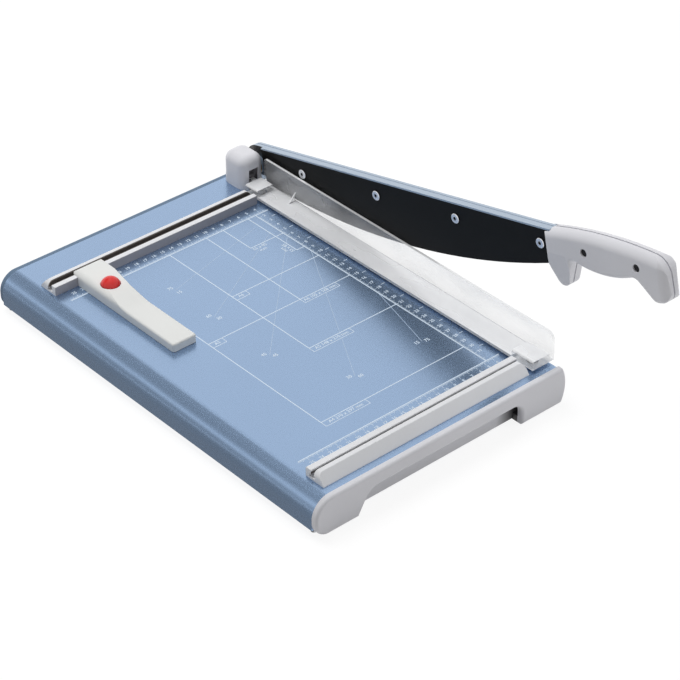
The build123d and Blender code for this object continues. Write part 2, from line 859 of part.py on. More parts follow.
def arm_room():
    """Space that the arm and the blade take inside the handle."""
    fit = handle_fit
    bar = flat_between(handle_front - overrun, arm_length + fit, -arm_bottom - fit, arm_top + overrun)
    tang = flat_between(arm_length, tang_end + fit, -tang_bottom - fit, tang_top + fit)
    room = level_arm(bar, shear_clearance - fit, arm_outer + fit)
    return room + level_arm(tang, arm_face - fit, arm_outer + fit)


def handle_half():
    """The left half of the handle, without the room for the arm."""
    half = level_arm(handle_outline(), handle_side, parting_x)
    side = half.faces().filter_by(Axis.X).sort_by(Axis.X)[0]
    return fillet(side.edges(), handle_edge_radius) & handle_crown() & handle_end() - parting_groove()


def handle_crown():
    """Disc under the arched top whose rim is well rounded beside the handle's outer side."""
    front_top, back_top = [handle_point(shares) for shares in handle_corner_shares[:2]]
    top = ThreePointArc(front_top, handle_point(handle_top_share), back_top)
    disc = level_arm(Pos(top.arc_center) * Circle(top.radius), handle_side, parting_x)
    return fillet(disc.edges().filter_by(GeomType.CIRCLE).sort_by(Axis.X)[0], handle_crown_radius)


def handle_end():
    """Block round the handle whose upright corner is well rounded at the pommel."""
    end = -handle_front - handle_length * max(along for along, up in handle_corner_shares)
    plan = flat_between(handle_side, parting_x, end, -handle_front + overrun)
    plan = fillet(plan.vertices().sort_by_distance(Vector(handle_side, end))[0], handle_end_round)
    return ARM * Pos(0, 0, -handle_drop - overrun) * extrude(plan, handle_height + 2 * overrun)


def parting_groove():
    """Shadow gap round the edge where the two halves meet."""
    outline = handle_outline()
    rim = outline - offset(outline, amount=-handle_groove_depth)
    return level_arm(rim, parting_x - handle_groove_width / 2, parting_x)


def hook_relief():
    """Wedge that thins the hook beside the table's end."""
    low = -handle_drop - overrun
    outside = handle_side - overrun
    bottom = handle_side + handle_hook_relief
    wedge = make_face(Polyline((outside, -handle_hook_relief_top), (handle_side, -handle_hook_relief_top),
                               (bottom, -handle_drop + handle_hook_relief_top), (bottom, low), (outside, low),
                               close=True))
    far = -handle_front - handle_hook_share * handle_length
    relief = along_y(wedge, far, -handle_front + overrun)
    end = relief.faces().sort_by(Axis.Y)[0]
    return ARM * fillet(end.edges().sort_by(Axis.X)[-2:], handle_hook_cove)


def handle_left():
    """Left half with the bolt recesses."""
    half = handle_half() - arm_room() - hook_relief()
    for along in handle_bolt_places():
        spot = Pos(along, handle_bolt_height)
        half -= level_arm(spot * Circle(handle_bolt_radius + hole_fit), handle_side - overrun, parting_x)
        half -= level_arm(spot * Circle(handle_bolt_head_radius + hole_fit), handle_side - overrun,
                          handle_side + handle_bolt_recess)
    return half


def handle_right():
    """Right half with the nut pockets."""
    side = parting_x + handle_thickness / 2
    half = mirror(handle_half(), about=Plane.YZ.offset(parting_x)) - arm_room()
    for along in handle_bolt_places():
        spot = Pos(along, handle_bolt_height)
        half -= level_arm(spot * Circle(handle_bolt_radius + hole_fit), parting_x, side + overrun)
        pocket = spot * RegularPolygon(handle_nut_radius + hole_fit, 6)
        half -= level_arm(pocket, side - handle_nut, side + overrun)
    return half


def handle_bolts():
    """Bolts through both halves and the tang."""
    seat = handle_side + handle_bolt_recess
    end = parting_x + handle_thickness / 2
    bolts = []
    for along in handle_bolt_places():
        spot = Pos(along, handle_bolt_height)
        bolt = level_arm(spot * Circle(handle_bolt_head_radius), seat - handle_bolt_head, seat)
        bolts.append(bolt + level_arm(spot * Circle(handle_bolt_radius), seat, end))
    return Compound(bolts)


def handle_nuts():
    """Nuts let into the right half."""
    end = parting_x + handle_thickness / 2
    nuts = []
    for along in handle_bolt_places():
        spot = Pos(along, handle_bolt_height)
        nut = RegularPolygon(handle_nut_radius, 6) - Circle(handle_bolt_radius + hole_fit)
        nuts.append(level_arm(spot * nut, end - handle_nut, end))
    return Compound(nuts)


# Clear clamp guard

def clamp_guard():
    """Clear angle along the cut with a block at each end and a tongue into the housing."""
    wall_back = -guard_face - guard_wall
    guard = between(-guard_front, -guard_face, guard_near_y, guard_far_end,
                    guard_gap, guard_gap + guard_flange)
    wall = flat_between(guard_near_y, guard_far_end, guard_gap, guard_height)
    wall = fillet(wall.vertices().sort_by(Axis.Y)[-2:].sort_by(Axis.X)[0], guard_corner_radius)
    wall = fillet(wall.vertices().sort_by(Axis.X)[-2:].sort_by(Axis.Y)[-1], guard_far_corner_radius)
    guard += along_x(wall, wall_back, -guard_face)
    inner_side = -guard_block_inset
    blocks = (
        (guard_near_y, guard_near_y + guard_near_block),
        (guard_far_end - guard_far_block, guard_far_end),
    )
    for y0, y1 in blocks:
        block = between(-guard_front, inner_side, y0, y1, guard_gap, guard_block_top)
        guard += fillet(block.edges().filter_by(Axis.Y).sort_by(Axis.Z)[-2:], guard_block_radius)
    rise = guard_gap + guard_flange
    gusset = make_face(Polyline((wall_back, rise), (wall_back - gusset_size, rise),
                                (wall_back, rise + gusset_size), close=True))
    guard += along_y(gusset, -gusset_from_stop - gusset_thickness, -gusset_from_stop)
    tongue_right = inner_washer_back
    guard += between(tongue_right - tongue_width, tongue_right, guard_far_end, tongue_end,
                     tongue_top - tongue_thickness, tongue_top)
    for x, y in post_places():
        guard -= rod_z(spring_pocket_radius, guard_gap - overrun, spring_pocket_top, x, y)
        guard -= rod_z(post_radius + hole_fit, guard_gap - overrun, post_top + hole_fit, x, y)
    return guard


def guide_post(x, y):
    """Post in the clamp's block that slides in the guide bush, with a groove for its clip."""
    post = rod_z(post_radius, -post_bottom, post_top, x, y)
    groove = rod_z(post_radius + overrun, -post_clip_drop - post_clip, -post_clip_drop, x, y)
    return post - (groove - rod_z(post_radius - post_groove, -post_bottom, 0, x, y))


def post_clip_piece(x, y):
    """Clip in the post's groove that stops it below the table."""
    ring = rod_z(post_clip_radius, -post_clip_drop - post_clip, -post_clip_drop, x, y)
    core = rod_z(post_radius - post_groove, -post_bottom, 0, x, y)
    return ring - core


def guide_bush(x, y):
    """Flanged bush in the table."""
    bore = post_radius + running_clearance
    bush = rod_z(bore + guide_wall, -guide_depth, 0, x, y) + rod_z(guide_flange_radius, 0, guide_flange, x, y)
    return bush - rod_z(bore, -guide_depth - overrun, overrun, x, y)


def clamp_spring(x, y):
    """Outer shape of the lift spring between the guide bush and the clamp's block."""
    coil = rod_z(spring_outer_radius, guide_flange, spring_pocket_top, x, y)
    return coil - rod_z(spring_inner_radius, 0, spring_pocket_top, x, y)


# Back gauge

def gauge_plan():
    """Plan of the gauge: a wide head and a neck down to the arm's width."""
    far = rail_ridge_width + gauge_shoe_gap + gauge_claw
    left = -gauge_left
    head_right = left + gauge_head_width
    arm_right = left + gauge_end_width
    rounded = (
        ((left, far), gauge_head_radius),
        ((head_right, far), gauge_head_radius),
        ((head_right, -gauge_head_depth), gauge_neck_radius),
        ((arm_right, -gauge_neck), gauge_neck_radius),
        ((arm_right, -gauge_reach), gauge_end_radius),
        ((left, -gauge_reach), gauge_end_radius),
    )
    plan = make_face(Polyline([corner for corner, radius in rounded], close=True))
    for corner, radius in rounded:
        plan = fillet(plan.vertices().sort_by_distance(Vector(*corner))[0], radius)
    return plan


def gauge_side():
    """Side view: claw in the rail's slot, level head and a lower, level arm."""
    far = rail_ridge_width + gauge_shoe_gap + gauge_claw
    claw = rail_ridge_width + gauge_shoe_gap
    over_ridge = rail_inner_height + gauge_glide
    bends = ((-gauge_flat, gauge_top), (-gauge_flat - gauge_fall, gauge_arm_height))
    side = make_face(Polyline(
        (far, gauge_claw_bottom), (far, gauge_top), *bends, (-gauge_reach, gauge_arm_height),
        (-gauge_reach, gauge_glide), (-gauge_shoe_gap, gauge_glide),
        (-gauge_shoe_gap, over_ridge), (claw, over_ridge), (claw, gauge_claw_bottom), close=True))
    for bend in bends:
        side = fillet(side.vertices().sort_by_distance(Vector(*bend))[0], gauge_bend_radius)
    return side


def gauge_top_edges(body):
    """Edges round the gauge's top that a hand meets."""
    tops = body.faces().filter_by(lambda face: face.normal_at().Z > gauge_top_upward)
    edges = ShapeList(edge for top in tops for edge in top.edges())
    across = edges.filter_by(Axis.X).sort_by(Axis.Y)
    return edges.filter_by(Axis.X, reverse=True) + [across[0], across[-1]]


def head_rounding():
    """Block round the gauge whose left and far top edges are well rounded."""
    far = rail_ridge_width + gauge_shoe_gap + gauge_claw
    block = between(-gauge_left, -gauge_left + gauge_head_width, -gauge_reach, far, -overrun, gauge_top)
    top = block.faces().sort_by(Axis.Z)[-1].edges()
    return fillet([top.sort_by(Axis.X)[0], top.sort_by(Axis.Y)[-1]], gauge_head_round)


def gauge_arm():
    """White moulding, hollow below, with a hole for the button and a window for the clamp shoe."""
    body = extrude(gauge_plan(), gauge_top + overrun)
    body &= along_x(gauge_side(), -gauge_left - overrun, -gauge_left + gauge_head_width + overrun)
    body = fillet(gauge_top_edges(body), gauge_edge_radius) & head_rounding()
    body -= between(gauge_pocket_left, gauge_pocket_right, -gauge_pocket_near, -gauge_shoe_gap - gauge_wall,
                    -overrun, gauge_top - gauge_wall)
    body -= between(gauge_pocket_left, -gauge_left + gauge_end_width - gauge_wall, -gauge_reach + gauge_wall,
                    -gauge_pocket_near - gauge_wall, -overrun, gauge_arm_height - gauge_wall)
    window = shoe_width / 2 + gauge_glide
    body -= between(gauge_x - window, gauge_x + window, -gauge_shoe_gap - gauge_wall - overrun, 0, -overrun,
                    shoe_top + gauge_glide)
    hole = extrude(Circle(button_radius + button_gap), gauge_top + overrun)
    return body - Pos(gauge_x, -button_from_stop, gauge_top - gauge_wall) * hole


def gauge_base_plate():
    """Plate that closes the mechanism's pocket from below, with a rib behind the spring."""
    fit = gauge_plate_fit
    top = gauge_glide + gauge_plate
    plate = between(gauge_pocket_left + fit, gauge_pocket_right - fit, -gauge_pocket_near + fit,
                    -gauge_shoe_gap - gauge_wall - fit, gauge_glide, top)
    rib_far = -gauge_shoe_gap - shoe_block - lock_spring_length
    return plate + between(gauge_x - rib_width / 2, gauge_x + rib_width / 2, rib_far - rib_thickness, rib_far,
                           top, rib_top)


def wedge_line(z, offset):
    """Y of the wedge face at a height, moved towards the user by an offset."""
    return -button_from_stop - stem_near - offset - (z - stem_bottom) * wedge_slope_share


def lock_button():
    """Domed push button with a retaining flange and a wedge stem."""
    under = gauge_top - gauge_wall - gauge_glide
    rise = gauge_top + button_proud - under
    dome_radius = (button_radius ** 2 + button_dome ** 2) / (2 * button_dome)
    head = extrude(Circle(button_radius), rise) & Pos(0, 0, rise - dome_radius) * Sphere(dome_radius)
    button = Pos(gauge_x, -button_from_stop, under) * head
    flange = extrude(Circle(button_radius + button_gap + button_flange), button_flange_depth)
    button += Pos(gauge_x, -button_from_stop, under - button_flange_depth) * flange
    low = under - button_flange_depth
    far = -button_from_stop + stem_far
    stem = make_face(Polyline((far, stem_bottom), (far, low), (wedge_line(low, 0), low),
                              (wedge_line(stem_bottom, 0), stem_bottom), close=True))
    return button + along_x(stem, gauge_x - stem_width / 2, gauge_x + stem_width / 2)


def clamp_shoe():
    """Shoe that grips the rail's stop face, with a window round the button's stem and a wedge bar."""
    far = -gauge_shoe_gap
    back = far - shoe_block
    left = gauge_x - shoe_width / 2
    right = gauge_x + shoe_width / 2
    shoe = between(left, right, back, far, shoe_bottom, shoe_top)
    wedge_top = wedge_line(shoe_rail_top, wedge_gap)
    end = wedge_top - shoe_bar
    bar = make_face(Polyline(
        (wedge_line(shoe_bottom, wedge_gap), shoe_bottom), (wedge_top, shoe_rail_top),
        (end, shoe_rail_top), (end, shoe_bottom), close=True))
    shoe += along_x(bar, left, right)
    for side in (left, right - shoe_rail_width):
        shoe += between(side, side + shoe_rail_width, end, back, shoe_bottom, shoe_rail_top)
    return shoe


def lock_spring():
    """Outer shape of the spring between the shoe and the gauge's rib."""
    far = -gauge_shoe_gap - shoe_block
    height = (shoe_bottom + rib_top) / 2
    near = far - lock_spring_length
    coil = rod_y(lock_spring_outer_radius, near, far, gauge_x, height)
    return coil - rod_y(lock_spring_inner_radius, near - overrun, far + overrun, gauge_x, height)


# All nodes

def all_nodes():
    """Every piece by its node name."""
    nodes = {
        "table_top": table_top(),
        "near_end_cap": near_end_cap(),
        "cap_screws": cap_screws(),
        "far_rail": far_rail(far_rail_right_inset),
        "near_rail": near_rail(),
        "rail_screws": screws_from_below(rail_screw_places(), rail_screw_radius, rail_screw_head_radius,
                                         rail_screw_head, rail_screw_depth),
        "lower_blade": lower_blade(),
        "lower_blade_screws": Compound([lower_blade_screw(y, 0, 0) for y in lower_blade_screw_places()]),
        "lower_blade_nuts": lower_blade_nuts(),
        "pivot_bracket": pivot_bracket(),
        "bracket_screws": screws_from_below(bracket_screw_places(), bracket_screw_radius,
                                            bracket_screw_head_radius, bracket_screw_head,
                                            bracket_screw_depth),
        "pivot_bush": pivot_bush(),
        "housing_cover": housing_cover(),
        "housing_screws": screws_from_below(housing_screw_places(), housing_screw_radius,
                                            housing_screw_head_radius, housing_screw_head,
                                            housing_screw_depth),
        "blade_arm": blade_arm(),
        "upper_blade": upper_blade(),
        "blade_screws": blade_screws(),
        "pivot_bolt": pivot_bolt(),
        "outer_washer": ring_x(outer_washer_radius, arm_outer, arm_outer + outer_washer),
        "inner_washer": ring_x(inner_washer_radius, inner_washer_back, inner_washer_back + inner_washer),
        "press_finger": press_finger(),
        "disc_springs": disc_springs(),
        "pivot_nut": pivot_nut_piece(),
        "handle_left": handle_left(),
        "handle_right": handle_right(),
        "handle_bolts": handle_bolts(),
        "handle_nuts": handle_nuts(),
        "clamp_guard": clamp_guard(),
        "gauge_arm": gauge_arm(),
        "gauge_base_plate": gauge_base_plate(),
        "lock_button": lock_button(),
        "clamp_shoe": clamp_shoe(),
        "lock_spring": lock_spring(),
    }
    nodes["far_end_cap"] = mirrored_ends(nodes["near_end_cap"])
    for side, x in zip(("left", "right"), pad_places()):
        nodes["foot_pad_near_" + side] = foot_pad(x)
        nodes["foot_pad_far_" + side] = mirrored_ends(foot_pad(x))
    for end, place in zip(("near", "far"), post_places()):
        nodes["guide_post_" + end] = guide_post(*place)
        nodes["post_clip_" + end] = post_clip_piece(*place)
        nodes["guide_bush_" + end] = guide_bush(*place)
        nodes["clamp_spring_" + end] = clamp_spring(*place)
    return nodes


def to_origin(nodes):
    """The move that brings the middle of the bounding box's bottom to the origin."""
    boxes = [shape.bounding_box() for shape in nodes.values()]
    middle_of_x = (min(box.min.X for box in boxes) + max(box.max.X for box in boxes)) / 2
    middle_of_y = (min(box.min.Y for box in boxes) + max(box.max.Y for box in boxes)) / 2
    return Pos(-middle_of_x, -middle_of_y, -min(box.min.Z for box in boxes))


def main():
    """Build all nodes and write one file for each."""
    os.makedirs("parts", exist_ok=True)
    nodes = all_nodes()
    move = to_origin(nodes)
    print("shift", [round(value, 4) for value in move.position])
    for name, shape in nodes.items():
        export_step(move * shape, "parts/" + name + ".step")


if __name__ == "__main__":
    main()
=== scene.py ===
import math

import bmesh
import bpy
from bpy.props import FloatProperty, FloatVectorProperty, IntProperty, PointerProperty
from mathutils import Matrix, Vector


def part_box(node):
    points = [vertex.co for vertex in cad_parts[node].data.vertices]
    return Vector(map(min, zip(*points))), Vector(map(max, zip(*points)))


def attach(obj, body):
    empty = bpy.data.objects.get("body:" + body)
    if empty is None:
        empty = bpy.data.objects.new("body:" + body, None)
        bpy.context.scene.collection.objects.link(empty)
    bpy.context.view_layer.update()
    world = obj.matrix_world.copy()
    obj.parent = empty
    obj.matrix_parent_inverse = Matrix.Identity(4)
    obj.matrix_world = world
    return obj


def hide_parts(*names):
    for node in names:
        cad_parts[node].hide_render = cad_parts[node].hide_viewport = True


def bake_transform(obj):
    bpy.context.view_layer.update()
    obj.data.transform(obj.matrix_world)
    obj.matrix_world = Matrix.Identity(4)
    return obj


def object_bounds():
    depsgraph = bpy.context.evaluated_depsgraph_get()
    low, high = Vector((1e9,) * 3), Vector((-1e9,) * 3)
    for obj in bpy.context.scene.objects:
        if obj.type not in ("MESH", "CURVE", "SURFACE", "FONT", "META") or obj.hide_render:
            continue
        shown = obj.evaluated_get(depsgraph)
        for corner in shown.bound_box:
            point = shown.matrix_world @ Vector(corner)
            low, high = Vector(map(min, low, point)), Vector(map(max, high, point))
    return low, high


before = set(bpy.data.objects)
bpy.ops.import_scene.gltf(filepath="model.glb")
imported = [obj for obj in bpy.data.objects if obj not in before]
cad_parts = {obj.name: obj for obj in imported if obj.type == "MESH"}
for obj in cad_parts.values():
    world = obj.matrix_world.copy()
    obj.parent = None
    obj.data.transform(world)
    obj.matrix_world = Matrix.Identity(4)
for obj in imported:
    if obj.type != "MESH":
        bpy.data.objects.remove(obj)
CAD_LOW, CAD_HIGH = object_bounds()

bl_info = {
    "name": "Lever paper cutter",
    "version": (1, 0, 0),
    "blender": (4, 5, 0),
    "location": "View3D > Sidebar > Cutter",
    "description": "Finishes, table print and studio of a lever paper cutter",
    "category": "Object",
}

MM = 0.001

# Places of the cutter that its print, tints and small pieces are set out from
CUT_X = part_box("lower_blade")[1].x
STOP_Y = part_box("far_rail")[0].y
NEAR_STOP_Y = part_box("near_rail")[1].y
TABLE_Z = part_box("table_top")[1].z
SHEET_END_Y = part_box("table_top")[1].y
NEAR_FACE_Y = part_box("near_end_cap")[0].y
FAR_FACE_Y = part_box("far_end_cap")[1].y
HOUSING_RIGHT_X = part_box("housing_cover")[1].x
ARM_INNER_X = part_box("upper_blade")[1].x
BLADE_FAR_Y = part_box("upper_blade")[1].y
SCREW_FACE_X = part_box("blade_screws")[0].x

# Rails: the ridge at the stop face, the slot behind it, and the painted shade in the slot, which on the far
# rail also reaches onto the tops either side of it
RAIL_RIDGE = 6.4 * MM
RAIL_SLOT = 3.2 * MM
RAIL_TOP = TABLE_Z + 9.0 * MM
SLOT_EDGE = 1.2 * MM
SLOT_LIT = 1.8 * MM
SLOT_FLOOR = 6.0 * MM
SLIVER = 0.2 * MM

# End caps: the deep end of the finger arch, painted in shade inside, the plate, and the rim past the sheet,
# painted as a shadow line
ARCH_RIGHT = CUT_X - 52.0 * MM
ARCH_FADE = 20.0 * MM
ARCH_INNER = 15.0 * MM
CAP_PLATE = 6.2 * MM
CAP_DROP = 4.0 * MM
RIM_SKIN = 0.3 * MM

# Arm: the black part of its inner face, and the depth past which a screw's socket is painted in shade
HUB_LAP = 8.0 * MM
HUB_SKIN = 0.05 * MM
SOCKET_DEPTH = 0.5 * MM

# Paper lines, in millimetres left of the cut and towards the user from the far stop
SCALE_LINE = 46.0
FAR_BASE = 15.0
NEAR_BASE = 324.5
GUARD_EDGE = 30.5
LEFT_END = 259.0
LINES_ALONG = ((55.0, 85.0), (85.0, 55.0), (105.0, 148.0), (148.0, 210.0), (210.0, 297.0))
LINES_ACROSS = ((55.0, 85.0), (85.0, 55.0), (105.0, 148.0), (148.0, 210.0), (210.0, 148.0), (297.0, 210.0))

# Format labels as the left end and the line above them, the width of their box and their words
WIDE_LABELS = (
    (105.0, 148.0, 41.0, "A6 105 x 148 mm"),
    (148.0, 210.0, 46.0, "A5 148 x 210 mm"),
    (210.0, 297.0, 49.0, "A4 210 x 297 mm"),
)
SMALL_LABELS = ((148.0, 105.0, 15.0, "A6"), (210.0, 148.0, 15.0, "A5"))
LABEL_DEPTH = 7.0
LABEL_LINE_SHARE = 0.7
CARD_ROWS = (("55 x 85", 58.5), ("mm", 63.5))
CARD_MIDDLE = 77.0

# Scales in millimetres, with the tick lengths of centimetres, half centimetres and millimetres
CROSS_STEPS = range(32, 260)
CROSS_NUMBERS = range(40, 260, 10)
CROSS_TICKS = (4.5, 3.2, 2.0)
CROSS_NUMBER_GAP = 8.2
CUT_STEPS = range(20, 325)
CUT_NUMBERS = range(20, 320, 10)
CUT_TICKS = (3.6, 2.6, 1.6)
CUT_NUMBER_GAP = 6.6
INCH = 25.4
INCH_STEPS = range(1, 13)
INCH_TICK = 4.5
INCH_LINE_SHARE = 1.5

# Angle lines: where they start and how far left and near they reach
FAN_ANGLES = (15.0, 30.0, 45.0, 60.0, 75.0)
FAN_START = 62.0
FAN_LEFT = 180.0
FAN_NEAR = 252.0
FAN_NUMBER_GAP = 5.0
FAN_DIGIT_SHARE = 1.1

# Letters: the height of a digit as a share of the font's size, and the swelling of its outline
LETTER_SHARE = 0.7
BOLD_SHARE = 0.025

# Heights of the inks as shares of their thickness, so that crossing strokes share no face
TICK_LAYER, FAN_LAYER, ALONG_LAYER, ACROSS_LAYER, BOX_LAYER, WORD_LAYER = 0.7, 0.8, 0.9, 1.0, 1.1, 1.2

# Middle part of a noise that is spread over a range of values
NOISE_LOW, NOISE_HIGH = 0.3, 0.7

# Scales of a noise along X, Y and Z: a small one draws it out into lines
EVEN = (1, 1, 1)
ALONG_CUT = (1, 0.02, 1)
ALONG_BLADE = (1, 0.03, 0.5)
ALONG_GUARD = (1, 0.3, 1)
ALONG_PIVOT = (0.05, 1, 1)

# Colour sockets of a Mix node
MIX_BELOW, MIX_ABOVE, MIX_RESULT = 6, 7, 2

# Studio, in metres
FLOOR_REACH = 8.0
FLOOR_DROP = 0.2 * MM
FLOOR_WHITE = 0.8
FLOOR_SHADOW = 0.16
FLOOR_GLOW = 0.88
FLAG_GLOW = 0.27
SENSOR_WIDTH = 36.0
CLIP_START, CLIP_END = 0.05, 60.0

# Soft boxes as a name, the setting of their power, their size and their place
SOFT_BOXES = (
    ("overhead_box", "key", 1.6, (-0.1, 0.9, 2.1)),
    ("side_box", "fill", 0.6, (1.0, -0.9, 0.5)),
)

# Dark cards far behind the cutter and on the floor beside its left edge
FLAGS = (
    ("back_flag", ((-4.3, 4.0, 2.8), (1.6, 4.0, 2.8), (1.6, 4.0, 6.5), (-4.3, 4.0, 6.5))),
    ("low_flag", ((-3.4, 2.0, 0.0), (-1.6, 2.0, 0.0), (-1.6, 2.0, 0.95), (-3.4, 2.0, 0.95))),
    ("floor_flag", ((-0.5, -0.3, 0.0), (-0.15, -0.3, 0.0), (-0.15, 0.6, 0.0), (-0.5, 0.6, 0.0))),
)


def from_srgb(red, green, blue):
    """Linear colour of an eight-bit screen colour."""
    def linear(value):
        share = value / 255
        return share / 12.92 if share <= 0.04045 else ((share + 0.055) / 1.055) ** 2.4
    return (linear(red), linear(green), linear(blue))


def colour_property(name, description, red, green, blue):
    """A colour setting whose default is an eight-bit screen colour."""
    return FloatVectorProperty(name=name, description=description, subtype="COLOR", size=3, min=0, max=1,
                               default=from_srgb(red, green, blue))


def length_property(name, description, default):
    """A length setting in metres."""
    return FloatProperty(name=name, description=description, default=default, unit="LENGTH")


def on_table(left, near):
    """A point of the table top, in millimetres left of the cut and towards the user."""
    return Vector((CUT_X - left * MM, STOP_Y - near * MM, TABLE_Z))


class CutterFinish(bpy.types.PropertyGroup):
    """Colours of the cutter's pieces."""
    table: colour_property("Table", "Powder coat of the table sheet", 148, 175, 209)
    ink: colour_property("Print", "Paper lines and numbers", 218, 233, 248)
    faint_ink: colour_property("Faint print", "Angle lines", 180, 200, 224)
    cap: colour_property("End caps", "Plastic of the end caps", 220, 220, 225)
    # Painted shade: the colour of the shade inside the deep end of a cap's finger arch
    cap_inside: colour_property("Cap inside", "Deep end of a cap's finger arch", 70, 68, 70)
    # Painted shadow: the dark line of the far cap's rim along the sheet's edge
    cap_rim: colour_property("Cap rim", "Dark rim of the far cap along the sheet's edge", 96, 118, 142)
    rail: colour_property("Rails", "Stop rails", 232, 233, 236)
    # Painted shade: the colour of the shade deep in a rail's slot
    slot: colour_property("Rail slot", "Slot of a rail", 92, 86, 83)
    # Painted shade: a rail's stop face, darkened for the shade it stands in
    stop: colour_property("Stop face", "Stop face of a rail", 172, 168, 172)
    housing: colour_property("Housing", "Pivot housing", 222, 222, 227)
    handle: colour_property("Handle", "Handle halves", 222, 222, 227)
    arm: colour_property("Arm", "Paint of the arm", 164, 181, 200)
    blade: colour_property("Blade", "Black coat of the blade", 20, 20, 20)
    steel: colour_property("Steel", "Ground and plated steel", 188, 190, 195)
    screw: colour_property("Blade screws", "Plating of the blade screws", 236, 237, 241)
    bracket: colour_property("Bracket", "Coat of the pivot bracket and its pieces", 112, 111, 114)
    guard: colour_property("Guard", "Clear clamp guard", 250, 251, 253)
    gauge: colour_property("Gauge", "Back gauge", 230, 231, 229)
    button: colour_property("Button", "Lock button", 222, 40, 38)
    dark: colour_property("Dark plastic", "Hidden mouldings and rubber", 44, 44, 46)
    bronze: colour_property("Bronze", "Pivot bush", 184, 146, 92)


class CutterPrint(bpy.types.PropertyGroup):
    """Sizes of the print on the table."""
    line: length_property("Line", "Width of a paper line", 0.9 * MM)
    thin: length_property("Thin line", "Width of a scale tick", 0.4 * MM)
    fan: length_property("Angle line", "Width of an angle line", 0.5 * MM)
    lift: length_property("Lift", "Thickness of the ink", 0.06 * MM)
    digits: length_property("Digits", "Height of a scale number", 3.4 * MM)
    letters: length_property("Letters", "Height of a format label", 3.6 * MM)


class CutterSprings(bpy.types.PropertyGroup):
    """Coils of the springs."""
    lift_wire: length_property("Lift wire", "Radius of the lift springs' wire", 0.6 * MM)
    lock_wire: length_property("Lock wire", "Radius of the lock spring's wire", 0.4 * MM)
    sides: IntProperty(name="Sides", description="Sides of the wire's section", default=10, min=3)
    turns: IntProperty(name="Turns", description="Turns of each coil", default=4, min=1)
    steps: IntProperty(name="Steps", description="Steps in each turn", default=20, min=6)


class CutterWasher(bpy.types.PropertyGroup):
    """Sizes of the inner washer's section."""
    bore: length_property("Bore", "Radius of the hole", 5.05 * MM)
    edge: length_property("Broken edge", "Chamfer of the rim", 0.2 * MM)
    room: length_property("Room", "Gap to the rising guard", 0.15 * MM)
    steps: IntProperty(name="Steps", description="Steps round the washer", default=64, min=12)


class CutterStage(bpy.types.PropertyGroup):
    """Camera and light of the studio."""
    lens: FloatProperty(name="Lens", description="Focal length", default=131.26, unit="CAMERA")
    azimuth: FloatProperty(name="Azimuth", description="Camera round the cutter",
                           default=math.radians(-41.378), subtype="ANGLE")
    elevation: FloatProperty(name="Elevation", description="Camera above the table",
                             default=math.radians(35.348), subtype="ANGLE")
    distance: length_property("Distance", "Camera from its target", 2.15782)
    target: FloatVectorProperty(name="Target", description="Point at the middle of the picture", subtype="XYZ",
                                size=3, default=(0.013221, -0.0092571, 0.0375))
    key: FloatProperty(name="Key", description="Power of the overhead light", default=38.0, unit="POWER")
    fill: FloatProperty(name="Fill", description="Power of the side light", default=3.5, unit="POWER")
    sky: FloatProperty(name="Sky", description="Strength of the even light", default=0.3, min=0)


# Materials

def start_material(name):
    """A new material with its node tree, its shader and its Texture Coordinate node."""
    material = bpy.data.materials.new(name)
    material.use_nodes = True
    tree = material.node_tree
    shader = tree.nodes["Principled BSDF"]
    place = tree.nodes.new("ShaderNodeTexCoord")
    return material, tree, shader, place


def noise(tree, place, scale, detail=3.0, stretch=EVEN):
    """Noise on Object coordinates, drawn out along an axis by a small stretch share."""
    mapping = tree.nodes.new("ShaderNodeMapping")
    mapping.inputs["Scale"].default_value = stretch
    texture = tree.nodes.new("ShaderNodeTexNoise")
    texture.inputs["Scale"].default_value = scale
    texture.inputs["Detail"].default_value = detail
    tree.links.new(place.outputs["Object"], mapping.inputs["Vector"])
    tree.links.new(mapping.outputs["Vector"], texture.inputs["Vector"])
    return texture.outputs["Fac"]


def ranged(tree, source, low, high):
    """The middle of a noise spread over a range."""
    node = tree.nodes.new("ShaderNodeMapRange")
    node.inputs["From Min"].default_value = NOISE_LOW
    node.inputs["From Max"].default_value = NOISE_HIGH
    node.inputs["To Min"].default_value = low
    node.inputs["To Max"].default_value = high
    tree.links.new(source, node.inputs["Value"])
    return node.outputs["Result"]


def combined(tree, operation, first, second):
    """Two values put together by a Math node."""
    node = tree.nodes.new("ShaderNodeMath")
    node.operation = operation
    tree.links.new(first, node.inputs[0])
    tree.links.new(second, node.inputs[1])
    return node.outputs["Value"]


def wandering_colour(tree, shader, source, colour, spread):
    """Base colour that wanders a little either side of the given one."""
    ramp = tree.nodes.new("ShaderNodeValToRGB")
    ends = zip(ramp.color_ramp.elements, (NOISE_LOW, NOISE_HIGH), (1 - spread, 1 + spread))
    for element, position, strength in ends:
        element.position = position
        element.color = [min(1, value * strength) for value in colour] + [1]
    tree.links.new(source, ramp.inputs["Fac"])
    tree.links.new(ramp.outputs["Color"], shader.inputs["Base Color"])


def wandering_roughness(tree, shader, source, rough, spread):
    """Roughness that wanders a little either side of the given one."""
    tree.links.new(ranged(tree, source, rough - spread, rough + spread), shader.inputs["Roughness"])


def bumped(tree, shader, source, strength, depth):
    """Fine relief of a surface."""
    bump = tree.nodes.new("ShaderNodeBump")
    bump.inputs["Strength"].default_value = strength
    bump.inputs["Distance"].default_value = depth
    tree.links.new(source, bump.inputs["Height"])
    tree.links.new(bump.outputs["Normal"], shader.inputs["Normal"])


def split_place(tree, place):
    """Object coordinates as separate X, Y and Z."""
    split = tree.nodes.new("ShaderNodeSeparateXYZ")
    tree.links.new(place.outputs["Object"], split.inputs["Vector"])
    return split.outputs


